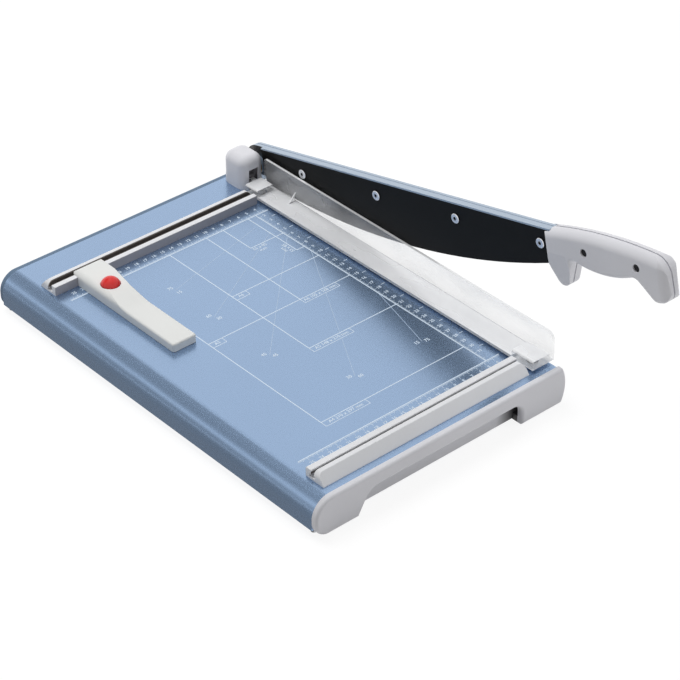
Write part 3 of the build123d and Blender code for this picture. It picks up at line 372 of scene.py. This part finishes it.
def between_places(tree, place, limits):
    """One inside a box of places, given as (axis, low, high) with None for an open end."""
    axes = split_place(tree, place)
    inside = None
    for axis, low, high in limits:
        for operation, limit in (("GREATER_THAN", low), ("LESS_THAN", high)):
            if limit is None:
                continue
            test = tree.nodes.new("ShaderNodeMath")
            test.operation = operation
            test.inputs[1].default_value = limit
            tree.links.new(axes[axis], test.inputs[0])
            passed = test.outputs["Value"]
            inside = combined(tree, "MULTIPLY", inside, passed) if inside else passed
    return inside


def fading(tree, place, axis, start, end):
    """A share that grows from none to one between two places along an axis."""
    grow = tree.nodes.new("ShaderNodeMapRange")
    grow.inputs["From Min"].default_value = start
    grow.inputs["From Max"].default_value = end
    tree.links.new(split_place(tree, place)[axis], grow.inputs["Value"])
    return grow.outputs["Result"]


def tinted(tree, mask, colour):
    """Another colour laid over the shader's base colour where a mask is one."""
    base = tree.nodes["Principled BSDF"].inputs["Base Color"]
    mix = tree.nodes.new("ShaderNodeMix")
    mix.data_type = "RGBA"
    mix.inputs[MIX_ABOVE].default_value = [*colour, 1]
    tree.links.new(mask, mix.inputs["Factor"])
    tree.links.new(base.links[0].from_socket, mix.inputs[MIX_BELOW])
    tree.links.new(mix.outputs[MIX_RESULT], base)


def tint_box(material, limits, colour):
    """Another colour inside a box of places."""
    tree = material.node_tree
    tinted(tree, between_places(tree, tree.nodes["Texture Coordinate"], limits), colour)


def powder_coat(name, colour, metallic, rough):
    """Satin metallic paint with a fine orange peel."""
    material, tree, shader, place = start_material(name)
    clouds = noise(tree, place, scale=9.0)
    sheen = noise(tree, place, scale=260.0)
    peel = noise(tree, place, scale=1400.0, detail=2.0)
    wandering_colour(tree, shader, clouds, colour, spread=0.02)
    wandering_roughness(tree, shader, sheen, rough, spread=0.01)
    shader.inputs["Metallic"].default_value = metallic
    shader.inputs["Coat Weight"].default_value = 0.6
    shader.inputs["Coat Roughness"].default_value = 0.2
    bumped(tree, shader, peel, strength=0.012, depth=0.1 * MM)
    return material


def moulded_plastic(name, colour, rough, grain=0.12):
    """Moulded plastic with a fine spark-eroded grain."""
    material, tree, shader, place = start_material(name)
    clouds = noise(tree, place, scale=14.0)
    sheen = noise(tree, place, scale=420.0)
    sparks = noise(tree, place, scale=1900.0, detail=2.0)
    wandering_colour(tree, shader, clouds, colour, spread=0.025)
    wandering_roughness(tree, shader, sheen, rough, spread=0.05)
    bumped(tree, shader, sparks, strength=grain, depth=0.1 * MM)
    return material


def ground_steel(name, colour, rough, stretch=EVEN):
    """Steel with fine grinding lines along one axis."""
    material, tree, shader, place = start_material(name)
    lines = noise(tree, place, scale=2200.0, detail=4.0, stretch=stretch)
    wandering_colour(tree, shader, lines, colour, spread=0.06)
    wandering_roughness(tree, shader, lines, rough, spread=0.07)
    shader.inputs["Metallic"].default_value = 1.0
    bumped(tree, shader, lines, strength=0.06, depth=0.05 * MM)
    return material


def black_coat(name, colour, rough):
    """Dark coated steel with faint lengthwise rubbing."""
    material, tree, shader, place = start_material(name)
    lines = noise(tree, place, scale=900.0, detail=4.0, stretch=ALONG_BLADE)
    wandering_colour(tree, shader, lines, colour, spread=0.12)
    wandering_roughness(tree, shader, lines, rough, spread=0.06)
    shader.inputs["Specular IOR Level"].default_value = 0.12
    bumped(tree, shader, lines, strength=0.03, depth=0.05 * MM)
    return material


def clear_plastic(name, colour):
    """Clear moulding with flow streaks: its upright faces let most light through, its level faces less."""
    material, tree, shader, place = start_material(name)
    streaks = noise(tree, place, scale=45.0, detail=2.0, stretch=ALONG_GUARD)
    clouds = noise(tree, place, scale=20.0)
    wandering_colour(tree, shader, clouds, colour, spread=0.02)
    wandering_roughness(tree, shader, streaks, rough=0.27, spread=0.07)
    shader.inputs["Metallic"].default_value = 0.3
    shader.inputs["Specular IOR Level"].default_value = 0.8
    geometry = tree.nodes.new("ShaderNodeNewGeometry")
    split = tree.nodes.new("ShaderNodeSeparateXYZ")
    level = tree.nodes.new("ShaderNodeMath")
    level.operation = "ABSOLUTE"
    cover = tree.nodes.new("ShaderNodeMapRange")
    tree.links.new(ranged(tree, streaks, low=0.12, high=0.28), cover.inputs["To Min"])
    tree.links.new(ranged(tree, streaks, low=0.86, high=1.0), cover.inputs["To Max"])
    tree.links.new(geometry.outputs["True Normal"], split.inputs["Vector"])
    tree.links.new(split.outputs["Z"], level.inputs[0])
    tree.links.new(level.outputs["Value"], cover.inputs["Value"])
    tree.links.new(cover.outputs["Result"], shader.inputs["Alpha"])
    return material


def printed_ink(name, colour):
    """Screen-printed ink, slightly uneven."""
    material, tree, shader, place = start_material(name)
    wandering_colour(tree, shader, noise(tree, place, scale=700.0), colour, spread=0.04)
    shader.inputs["Roughness"].default_value = 0.5
    return material


def black_rubber(name, colour):
    """Matt rubber."""
    material, tree, shader, place = start_material(name)
    wandering_colour(tree, shader, noise(tree, place, scale=60.0), colour, spread=0.1)
    shader.inputs["Roughness"].default_value = 0.85
    bumped(tree, shader, noise(tree, place, scale=1500.0), strength=0.3, depth=0.2 * MM)
    return material


def arched_cap(name, colours):
    """Cap plastic, with painted shade inside the deep end of the finger arches and a painted shadow line along
    the far rim.
    """
    material = moulded_plastic(name, colours.cap, rough=0.5)
    tree = material.node_tree
    place = tree.nodes["Texture Coordinate"]
    inside = between_places(tree, place, (("X", None, ARCH_RIGHT + ARCH_INNER),
                                          ("Z", None, TABLE_Z - CAP_DROP),
                                          ("Y", NEAR_FACE_Y + CAP_PLATE, FAR_FACE_Y - CAP_PLATE)))
    depth = fading(tree, place, "X", ARCH_RIGHT - ARCH_FADE, ARCH_RIGHT)
    # Painted shade: the inside of the arch grows darker towards its deep end
    tinted(tree, combined(tree, "MULTIPLY", inside, depth), colours.cap_inside)
    # Painted shadow: a dark band on the far cap's rim past the sheet stands in for the shadow gap at the
    # sheet's edge
    far_rim_shadow_box = (("X", None, HOUSING_RIGHT_X), ("Y", SHEET_END_Y, FAR_FACE_Y - RIM_SKIN))
    tint_box(material, far_rim_shadow_box, colours.cap_rim)
    return material


def hubbed_arm(name, colours):
    """Arm paint, black on the inner face beside the pivot."""
    material = powder_coat(name, colours.arm, metallic=0.3, rough=0.38)
    inner_face = (("X", ARM_INNER_X - HUB_SKIN, ARM_INNER_X + HUB_SKIN), ("Y", BLADE_FAR_Y - HUB_LAP, None))
    tint_box(material, inner_face, colours.blade)
    return material


def slotted_rail(name, colours, slot_shade_box, stop):
    """Rail plastic with painted shade in its slot and painted shade on its stop face."""
    material = moulded_plastic(name, colours.rail, rough=0.4, grain=0.06)
    face = (("Y", stop - SLIVER, stop + SLIVER), ("Z", None, RAIL_TOP - SLIVER))
    # Painted shade: the slot, dark where it lies deep
    tint_box(material, slot_shade_box, colours.slot)
    # Painted shade: the stop face, darker than the rest of the rail
    tint_box(material, face, colours.stop)
    return material


def socket_screw(name, colours):
    """Plated blade screw, with painted shade in its socket and on the sides of its head below the face."""
    material = ground_steel(name, colours.screw, rough=0.4)
    # Painted shade: everything deeper than SOCKET_DEPTH behind the head's face, the socket's inside and the
    # head's sides, is dark
    tint_box(material, (("X", SCREW_FACE_X + SOCKET_DEPTH, None),), colours.dark)
    return material


def dress(material, *nodes):
    """Give CAD nodes a material."""
    for name in nodes:
        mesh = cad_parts[name].data
        mesh.materials.clear()
        mesh.materials.append(material)


# New pieces

def mesh_object(name, work, material):
    """An object at the origin from a filled bmesh."""
    mesh = bpy.data.meshes.new(name)
    work.to_mesh(mesh)
    work.free()
    mesh.materials.append(material)
    made = bpy.data.objects.new(name, mesh)
    bpy.context.scene.collection.objects.link(made)
    return made


def add_piece(name, work, material, body):
    """A new piece from a filled bmesh, riding on a body unless that is None."""
    piece = mesh_object(name, work, material)
    if body:
        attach(piece, body)
    return piece


# Table print

def stroke(work, start, end, width, lift):
    """A straight line of ink between two points of the table."""
    run = end - start
    turn = Matrix.Rotation(math.atan2(run.y, run.x), 4, "Z")
    size = Matrix.Diagonal((run.length, width, 2 * lift, 1))
    middle = (start + end) / 2
    bmesh.ops.create_cube(work, size=1, matrix=Matrix.Translation(middle) @ turn @ size)


def word_mesh(words, height, lift):
    """Words as a thin solid about the origin."""
    curve = bpy.data.curves.new("words", "FONT")
    curve.body = words
    curve.size = height / LETTER_SHARE
    curve.align_x = "CENTER"
    curve.align_y = "CENTER"
    curve.extrude = lift
    curve.offset = height * BOLD_SHARE
    curve.resolution_u = 2
    writer = bpy.data.objects.new("words", curve)
    bpy.context.scene.collection.objects.link(writer)
    graph = bpy.context.evaluated_depsgraph_get()
    mesh = bpy.data.meshes.new_from_object(writer.evaluated_get(graph))
    bpy.data.objects.remove(writer)
    bpy.data.curves.remove(curve)
    return mesh


def write(work, words, height, sizes, middle, turn=0.0):
    """Words printed about a point of the table."""
    mesh = word_mesh(words, height, sizes.lift * WORD_LAYER)
    mesh.transform(Matrix.Translation(middle) @ Matrix.Rotation(turn, 4, "Z"))
    work.from_mesh(mesh)
    bpy.data.meshes.remove(mesh)


def paper_lines(work, sizes):
    """Base lines, scale line, format lines and their labels."""
    for left, near in ((SCALE_LINE, NEAR_BASE),) + LINES_ALONG:
        stroke(work, on_table(left, FAR_BASE), on_table(left, near), sizes.line, sizes.lift * ALONG_LAYER)
    for near, left in ((FAR_BASE, LEFT_END), (NEAR_BASE, LEFT_END)) + LINES_ACROSS:
        right = GUARD_EDGE if left == LEFT_END else SCALE_LINE
        stroke(work, on_table(right, near), on_table(left, near), sizes.line, sizes.lift * ACROSS_LAYER)
    for left, near, width, words in WIDE_LABELS + SMALL_LABELS:
        label_box(work, sizes, left, near, width, words)
    for words, row in CARD_ROWS:
        write(work, words, sizes.letters, sizes, on_table(CARD_MIDDLE, row))
    for words, row in CARD_ROWS:
        write(work, words, sizes.letters, sizes, on_table(row, CARD_MIDDLE), math.radians(90))


def label_box(work, sizes, left, near, width, words):
    """A format label below its line, in a thin box."""
    right = left - width
    low = near + LABEL_DEPTH
    thin = sizes.line * LABEL_LINE_SHARE
    for side in (left, right):
        stroke(work, on_table(side, near), on_table(side, low), thin, sizes.lift * BOX_LAYER)
    stroke(work, on_table(left, low), on_table(right, low), thin, sizes.lift * ACROSS_LAYER)
    write(work, words, sizes.letters, sizes, on_table(left - width / 2, near + LABEL_DEPTH / 2))


def tick_length(step, lengths):
    """Length of the tick at a millimetre of a scale."""
    centimetre, half, millimetre = lengths
    return centimetre if step % 10 == 0 else half if step % 5 == 0 else millimetre


def cross_scale(work, sizes, base, side):
    """Millimetre ticks and centimetre numbers along a base line, towards the rail on its given side."""
    for step in CROSS_STEPS:
        end = on_table(step, base + side * tick_length(step, CROSS_TICKS))
        stroke(work, on_table(step, base), end, sizes.thin, sizes.lift * TICK_LAYER)
    for step in CROSS_NUMBERS:
        write(work, str(step // 10), sizes.digits, sizes, on_table(step, base + side * CROSS_NUMBER_GAP))


def cut_scale(work, sizes):
    """Ticks and numbers beside the scale line, and inch marks next to the guard."""
    for step in CUT_STEPS:
        end = on_table(SCALE_LINE - tick_length(step, CUT_TICKS), step)
        stroke(work, on_table(SCALE_LINE, step), end, sizes.thin, sizes.lift * TICK_LAYER)
    for step in CUT_NUMBERS:
        write(work, str(step // 10), sizes.digits, sizes, on_table(SCALE_LINE - CUT_NUMBER_GAP, step))
    for step in INCH_STEPS:
        near = step * INCH
        end = on_table(GUARD_EDGE + INCH_TICK, near)
        stroke(work, on_table(GUARD_EDGE, near), end, sizes.thin * INCH_LINE_SHARE, sizes.lift * TICK_LAYER)


def fan_lines():
    """Each angle of the fan, with its share left, its share near and its line's reach."""
    for angle in FAN_ANGLES:
        left, near = math.sin(math.radians(angle)), math.cos(math.radians(angle))
        yield angle, left, near, min(FAN_LEFT / left, FAN_NEAR / near)


def angle_fan(work, sizes):
    """Angle lines that point to the corner of the cut and the far base line."""
    for _, left, near, reach in fan_lines():
        first = max(FAN_START, SCALE_LINE / left)
        start = on_table(first * left, FAR_BASE + first * near)
        end = on_table(reach * left, FAR_BASE + reach * near)
        stroke(work, start, end, sizes.fan, sizes.lift * FAN_LAYER)


def fan_numbers(work, sizes):
    """Angle numbers either side of the end of each angle line."""
    for angle, left, near, reach in fan_lines():
        for value, gap in ((angle, FAN_NUMBER_GAP), (90 - angle, -FAN_NUMBER_GAP)):
            spot = on_table(reach * left + gap * near, FAR_BASE + reach * near - gap * left)
            write(work, str(round(value)), sizes.digits * FAN_DIGIT_SHARE, sizes, spot)


# Springs

def coil(work, radius, wire, length, sizes):
    """A coil standing on the origin, made by spinning a wire section up its axis."""
    section = Matrix.Translation((radius, 0, wire)) @ Matrix.Rotation(math.radians(90), 4, "X")
    ring = bmesh.ops.create_circle(work, segments=sizes.sides, radius=wire, matrix=section)["verts"]
    steps = sizes.turns * sizes.steps
    rise = (length - 2 * wire) / steps
    start = list({edge for vert in ring for edge in vert.link_edges})
    spun = bmesh.ops.spin(work, geom=start, cent=(0, 0, 0), axis=(0, 0, 1), dvec=(0, 0, rise),
                          angle=math.tau * sizes.turns, steps=steps, use_merge=False)
    end = [item for item in spun["geom_last"] if isinstance(item, bmesh.types.BMEdge)]
    for edges in (start, end):
        bmesh.ops.holes_fill(work, edges=edges, sides=0)
    bmesh.ops.recalc_face_normals(work, faces=work.faces)


def wound_spring(node, axis, wire, material, sizes):
    """A coil in the place of a spring sleeve that runs along an axis, with the points at its two ends."""
    low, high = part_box(node)
    foot = (low + high) / 2
    head = foot.copy()
    setattr(foot, axis, getattr(low, axis))
    setattr(head, axis, getattr(high, axis))
    run = head - foot
    turn = Vector((0, 0, 1)).rotation_difference(run).to_matrix().to_4x4()
    work = bmesh.new()
    coil(work, (high.x - low.x) / 2 - wire, wire, run.length, sizes)
    bmesh.ops.transform(work, matrix=Matrix.Translation(foot) @ turn, verts=work.verts)
    return add_piece(node + "_coil", work, material, None), tuple(foot), tuple(head)


# Studio

def seen_rays(tree):
    """One where a camera, glossy or transmission ray arrives."""
    rays = tree.nodes.new("ShaderNodeLightPath").outputs
    shown = combined(tree, "MAXIMUM", rays["Is Camera Ray"], rays["Is Glossy Ray"])
    return combined(tree, "MAXIMUM", shown, rays["Is Transmission Ray"])


def mix_by_ray(tree, lighting, shown, out):
    """One shader for the rays that see a surface and another for those that light the cutter."""
    mix = tree.nodes.new("ShaderNodeMixShader")
    tree.links.new(seen_rays(tree), mix.inputs["Fac"])
    tree.links.new(lighting, mix.inputs[1])
    tree.links.new(shown, mix.inputs[2])
    tree.links.new(mix.outputs["Shader"], out.inputs["Surface"])


def grey(level):
    """A grey with full alpha."""
    return (level, level, level, 1)


def floor_white():
    """White floor paint that keeps a faint shadow."""
    material = bpy.data.materials.new("studio_white")
    material.use_nodes = True
    tree = material.node_tree
    tree.nodes.clear()
    out = tree.nodes.new("ShaderNodeOutputMaterial")
    card = tree.nodes.new("ShaderNodeBsdfDiffuse")
    card.inputs["Color"].default_value = grey(FLOOR_WHITE)
    shadow = tree.nodes.new("ShaderNodeBsdfDiffuse")
    shadow.inputs["Color"].default_value = grey(FLOOR_SHADOW)
    glow = tree.nodes.new("ShaderNodeEmission")
    glow.inputs["Strength"].default_value = FLOOR_GLOW
    both = tree.nodes.new("ShaderNodeAddShader")
    tree.links.new(shadow.outputs["BSDF"], both.inputs[0])
    tree.links.new(glow.outputs["Emission"], both.inputs[1])
    mix_by_ray(tree, card.outputs["BSDF"], both.outputs["Shader"], out)
    return material


def set_floor():
    """A level sheet just under the feet."""
    work = bmesh.new()
    bmesh.ops.create_grid(work, x_segments=1, y_segments=1, size=FLOOR_REACH,
                          matrix=Matrix.Translation((0, 0, CAD_LOW.z - FLOOR_DROP)))
    floor = mesh_object("studio_floor", work, floor_white())


def set_flags():
    """Dark cards that only reflections show, for the dark bands on the paint."""
    material = bpy.data.materials.new("studio_dark")
    material.use_nodes = True
    shader = material.node_tree.nodes["Principled BSDF"]
    shader.inputs["Base Color"].default_value = grey(0)
    shader.inputs["Specular IOR Level"].default_value = 0.0
    shader.inputs["Emission Color"].default_value = grey(1)
    shader.inputs["Emission Strength"].default_value = FLAG_GLOW
    for name, corners in FLAGS:
        work = bmesh.new()
        made = [bmesh.ops.create_vert(work, co=corner)["vert"][0] for corner in corners]
        bmesh.ops.contextual_create(work, geom=made)
        flag = mesh_object(name, work, material)
        flag.visible_camera = flag.visible_diffuse = flag.visible_shadow = flag.visible_transmission = False


def set_world(scene, settings):
    """Even light, white where it is seen."""
    scene.world = bpy.data.worlds.new("studio_world")
    scene.world.use_nodes = True
    tree = scene.world.node_tree
    tree.nodes.clear()
    out = tree.nodes.new("ShaderNodeOutputWorld")
    even = tree.nodes.new("ShaderNodeBackground")
    white = tree.nodes.new("ShaderNodeBackground")
    for sheet in (even, white):
        sheet.inputs["Color"].default_value = grey(1)
    even.inputs["Strength"].default_value = settings.sky
    mix_by_ray(tree, even.outputs["Background"], white.outputs["Background"], out)


def stand_facing(scene, item, spot, direction):
    """Put a lamp or a camera at a place, turned along a direction."""
    item.location = spot
    item.rotation_mode = "QUATERNION"
    item.rotation_quaternion = direction.to_track_quat("-Z", "Y")
    scene.collection.objects.link(item)


def set_lights(scene, settings):
    """A soft box overhead and a weaker one at the side."""
    for name, power, size, spot in SOFT_BOXES:
        lamp = bpy.data.lights.new(name, "AREA")
        lamp.energy = getattr(settings, power)
        lamp.size = size
        light = bpy.data.objects.new(name, lamp)
        light.visible_glossy = False
        stand_facing(scene, light, spot, -Vector(spot))


def set_camera(scene, settings):
    """Camera at the photograph's angle."""
    turn, rise = settings.azimuth, settings.elevation
    back = Vector((math.sin(turn) * math.cos(rise), -math.cos(turn) * math.cos(rise), math.sin(rise)))
    view = bpy.data.cameras.new("photo_camera")
    view.lens = settings.lens
    view.sensor_width = SENSOR_WIDTH
    view.clip_start = CLIP_START
    view.clip_end = CLIP_END
    camera = bpy.data.objects.new("photo_camera", view)
    stand_facing(scene, camera, Vector(settings.target) + back * settings.distance, -back)
    scene.camera = camera


# Operators

class CUTTER_OT_table(bpy.types.Operator):
    """Finish the table sheet"""
    bl_idname = "cutter.table"
    bl_label = "Table sheet"

    def execute(self, context):
        colours = context.scene.cutter_finish
        dress(powder_coat("table_powder_coat", colours.table, metallic=0.8, rough=0.27), "table_top")
        return {"FINISHED"}


class CUTTER_OT_print(bpy.types.Operator):
    """Print paper lines, scales and angles on the table"""
    bl_idname = "cutter.table_print"
    bl_label = "Table print"

    def execute(self, context):
        colours = context.scene.cutter_finish
        sizes = context.scene.cutter_print
        work = bmesh.new()
        paper_lines(work, sizes)
        cross_scale(work, sizes, FAR_BASE, -1)
        cross_scale(work, sizes, NEAR_BASE, 1)
        cut_scale(work, sizes)
        fan_numbers(work, sizes)
        add_piece("table_print", work, printed_ink("print_ink", colours.ink), "base")
        work = bmesh.new()
        angle_fan(work, sizes)
        faint = printed_ink("faint_print_ink", colours.faint_ink)
        add_piece("table_angle_lines", work, faint, "base")
        return {"FINISHED"}


class CUTTER_OT_base_plastics(bpy.types.Operator):
    """Finish the end caps, rails, housing and feet"""
    bl_idname = "cutter.base_plastics"
    bl_label = "Caps, rails, housing, feet"

    def execute(self, context):
        colours = context.scene.cutter_finish
        dress(arched_cap("cap_plastic", colours), "near_end_cap", "far_end_cap")
        far_slot = STOP_Y + RAIL_RIDGE
        near_slot = NEAR_STOP_Y - RAIL_RIDGE - RAIL_SLOT
        # Painted shade: the far slot's dark is carried SLOT_EDGE onto the rail tops either side, so its
        # opening looks wider
        far_slot_shade = (("Y", far_slot - SLOT_EDGE, far_slot + RAIL_SLOT + SLOT_EDGE),
                     ("Z", RAIL_TOP - SLOT_FLOOR, None))
        # Painted shade: only the lower walls of the near slot, below their lit upper part
        near_slot_shade = (("Y", near_slot - SLIVER, near_slot + RAIL_SLOT + SLIVER),
                      ("Z", RAIL_TOP - SLOT_FLOOR, RAIL_TOP - SLOT_LIT))
        dress(slotted_rail("far_rail_plastic", colours, far_slot_shade, STOP_Y), "far_rail")
        dress(slotted_rail("near_rail_plastic", colours, near_slot_shade, NEAR_STOP_Y), "near_rail")
        dress(moulded_plastic("housing_plastic", colours.housing, rough=0.45), "housing_cover")
        dress(black_rubber("foot_rubber", colours.dark), "foot_pad_near_left", "foot_pad_near_right",
              "foot_pad_far_left", "foot_pad_far_right")
        dress(moulded_plastic("guide_plastic", colours.dark, rough=0.5), "guide_bush_near", "guide_bush_far")
        return {"FINISHED"}


class CUTTER_OT_metal(bpy.types.Operator):
    """Finish the steel pieces and the bronze bush"""
    bl_idname = "cutter.metal"
    bl_label = "Steel and bronze"

    def execute(self, context):
        colours = context.scene.cutter_finish
        dress(ground_steel("lower_blade_steel", colours.steel, rough=0.3, stretch=ALONG_CUT), "lower_blade")
        dress(ground_steel("plated_steel", colours.steel, rough=0.32), "cap_screws", "rail_screws",
              "lower_blade_screws", "lower_blade_nuts", "bracket_screws", "housing_screws", "pivot_bolt",
              "outer_washer", "handle_nuts", "guide_post_near", "guide_post_far", "post_clip_near",
              "post_clip_far")
        dress(black_coat("bracket_coat", colours.bracket, rough=0.5), "pivot_bracket", "press_finger",
              "disc_springs", "pivot_nut", "inner_washer")
        dress(socket_screw("blade_screw_steel", colours), "blade_screws")
        dress(black_coat("handle_bolt_black", colours.dark, rough=0.5), "handle_bolts")
        dress(ground_steel("bush_bronze", colours.bronze, rough=0.35, stretch=ALONG_PIVOT), "pivot_bush")
        return {"FINISHED"}


class CUTTER_OT_arm(bpy.types.Operator):
    """Finish the arm, its blade and the handle"""
    bl_idname = "cutter.arm"
    bl_label = "Arm, blade, handle"

    def execute(self, context):
        colours = context.scene.cutter_finish
        dress(hubbed_arm("arm_powder_coat", colours), "blade_arm")
        dress(black_coat("blade_black", colours.blade, rough=0.42), "upper_blade")
        dress(moulded_plastic("handle_plastic", colours.handle, rough=0.48), "handle_left", "handle_right")
        return {"FINISHED"}


class CUTTER_OT_guard(bpy.types.Operator):
    """Finish the clear clamp guard"""
    bl_idname = "cutter.guard"
    bl_label = "Clamp guard"

    def execute(self, context):
        dress(clear_plastic("guard_clear_plastic", context.scene.cutter_finish.guard), "clamp_guard")
        return {"FINISHED"}


class CUTTER_OT_springs(bpy.types.Operator):
    """Wind the lift springs of the clamp and the spring of the gauge lock"""
    bl_idname = "cutter.springs"
    bl_label = "Springs"

    def execute(self, context):
        sizes = context.scene.cutter_springs
        steel = ground_steel("spring_wire", context.scene.cutter_finish.steel, rough=0.3)
        for node in ("clamp_spring_near", "clamp_spring_far"):
            piece, foot, head = wound_spring(node, "z", sizes.lift_wire, steel, sizes)
            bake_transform(piece)
            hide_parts(node)
        piece, foot, head = wound_spring("lock_spring", "y", sizes.lock_wire, steel, sizes)
        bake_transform(piece)
        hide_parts("lock_spring")
        return {"FINISHED"}


class CUTTER_OT_washer(bpy.types.Operator):
    """Turn the inner washer with broken edges, clear of the rising guard"""
    bl_idname = "cutter.washer"
    bl_label = "Inner washer"

    def execute(self, context):
        sizes = context.scene.cutter_washer
        low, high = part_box("inner_washer")
        middle = (low + high) / 2
        rim = (high.y - low.y) / 2
        left = low.x + sizes.room
        section = ((left, sizes.bore), (left, rim - sizes.edge), (left + sizes.edge, rim),
                   (high.x - sizes.edge, rim), (high.x, rim - sizes.edge), (high.x, sizes.bore))
        work = bmesh.new()
        ring = [work.verts.new((x, middle.y + radius, middle.z)) for x, radius in section]
        edges = [work.edges.new(pair) for pair in zip(ring, ring[1:] + ring[:1])]
        bmesh.ops.spin(work, geom=edges, cent=middle, axis=(1, 0, 0), dvec=(0, 0, 0), angle=math.tau,
                       steps=sizes.steps, use_merge=True)
        bmesh.ops.recalc_face_normals(work, faces=work.faces)
        piece = add_piece("inner_washer_turned", work, bpy.data.materials["bracket_coat"], "arm")
        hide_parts("inner_washer")
        return {"FINISHED"}


class CUTTER_OT_gauge(bpy.types.Operator):
    """Finish the back gauge and its lock button"""
    bl_idname = "cutter.gauge"
    bl_label = "Back gauge"

    def execute(self, context):
        colours = context.scene.cutter_finish
        dress(moulded_plastic("gauge_plastic", colours.gauge, rough=0.42, grain=0.06), "gauge_arm")
        dress(moulded_plastic("button_plastic", colours.button, rough=0.2, grain=0.03), "lock_button")
        dress(moulded_plastic("gauge_dark_plastic", colours.dark, rough=0.5), "gauge_base_plate", "clamp_shoe")
        return {"FINISHED"}


class CUTTER_OT_stage(bpy.types.Operator):
    """Set the floor, light and camera"""
    bl_idname = "cutter.stage"
    bl_label = "Studio"

    def execute(self, context):
        scene = context.scene
        settings = scene.cutter_stage
        set_floor()
        set_world(scene, settings)
        set_lights(scene, settings)
        set_flags()
        set_camera(scene, settings)
        scene.view_settings.view_transform = "Standard"
        return {"FINISHED"}


class CUTTER_PT_panel(bpy.types.Panel):
    """Steps and settings of the cutter"""
    bl_idname = "CUTTER_PT_panel"
    bl_label = "Paper cutter"
    bl_space_type = "VIEW_3D"
    bl_region_type = "UI"
    bl_category = "Cutter"

    def draw(self, context):
        for step in STEPS:
            self.layout.operator(step.bl_idname)
        for name, group in SETTINGS.items():
            for setting in group.__annotations__:
                self.layout.prop(getattr(context.scene, name), setting)


STEPS = (CUTTER_OT_table, CUTTER_OT_print, CUTTER_OT_base_plastics, CUTTER_OT_metal, CUTTER_OT_arm,
         CUTTER_OT_guard, CUTTER_OT_springs, CUTTER_OT_washer, CUTTER_OT_gauge, CUTTER_OT_stage)
SETTINGS = {
    "cutter_finish": CutterFinish,
    "cutter_print": CutterPrint,
    "cutter_springs": CutterSprings,
    "cutter_washer": CutterWasher,
    "cutter_stage": CutterStage,
}
CLASSES = (*SETTINGS.values(), *STEPS, CUTTER_PT_panel)


def register():
    """Register the classes and give the scene their settings."""
    for item in CLASSES:
        bpy.utils.register_class(item)
    for name, group in SETTINGS.items():
        setattr(bpy.types.Scene, name, PointerProperty(type=group))


def unregister():
    """Take the settings and the classes away again."""
    for name in SETTINGS:
        delattr(bpy.types.Scene, name)
    for item in reversed(CLASSES):
        bpy.utils.unregister_class(item)


def main():
    """Make every piece and the studio."""
    register()
    bpy.ops.cutter.table()
    bpy.ops.cutter.table_print()
    bpy.ops.cutter.base_plastics()
    bpy.ops.cutter.metal()
    bpy.ops.cutter.arm()
    bpy.ops.cutter.guard()
    bpy.ops.cutter.springs()
    bpy.ops.cutter.washer()
    bpy.ops.cutter.gauge()
    bpy.ops.cutter.stage()


if __name__ == "__main__":
    main()
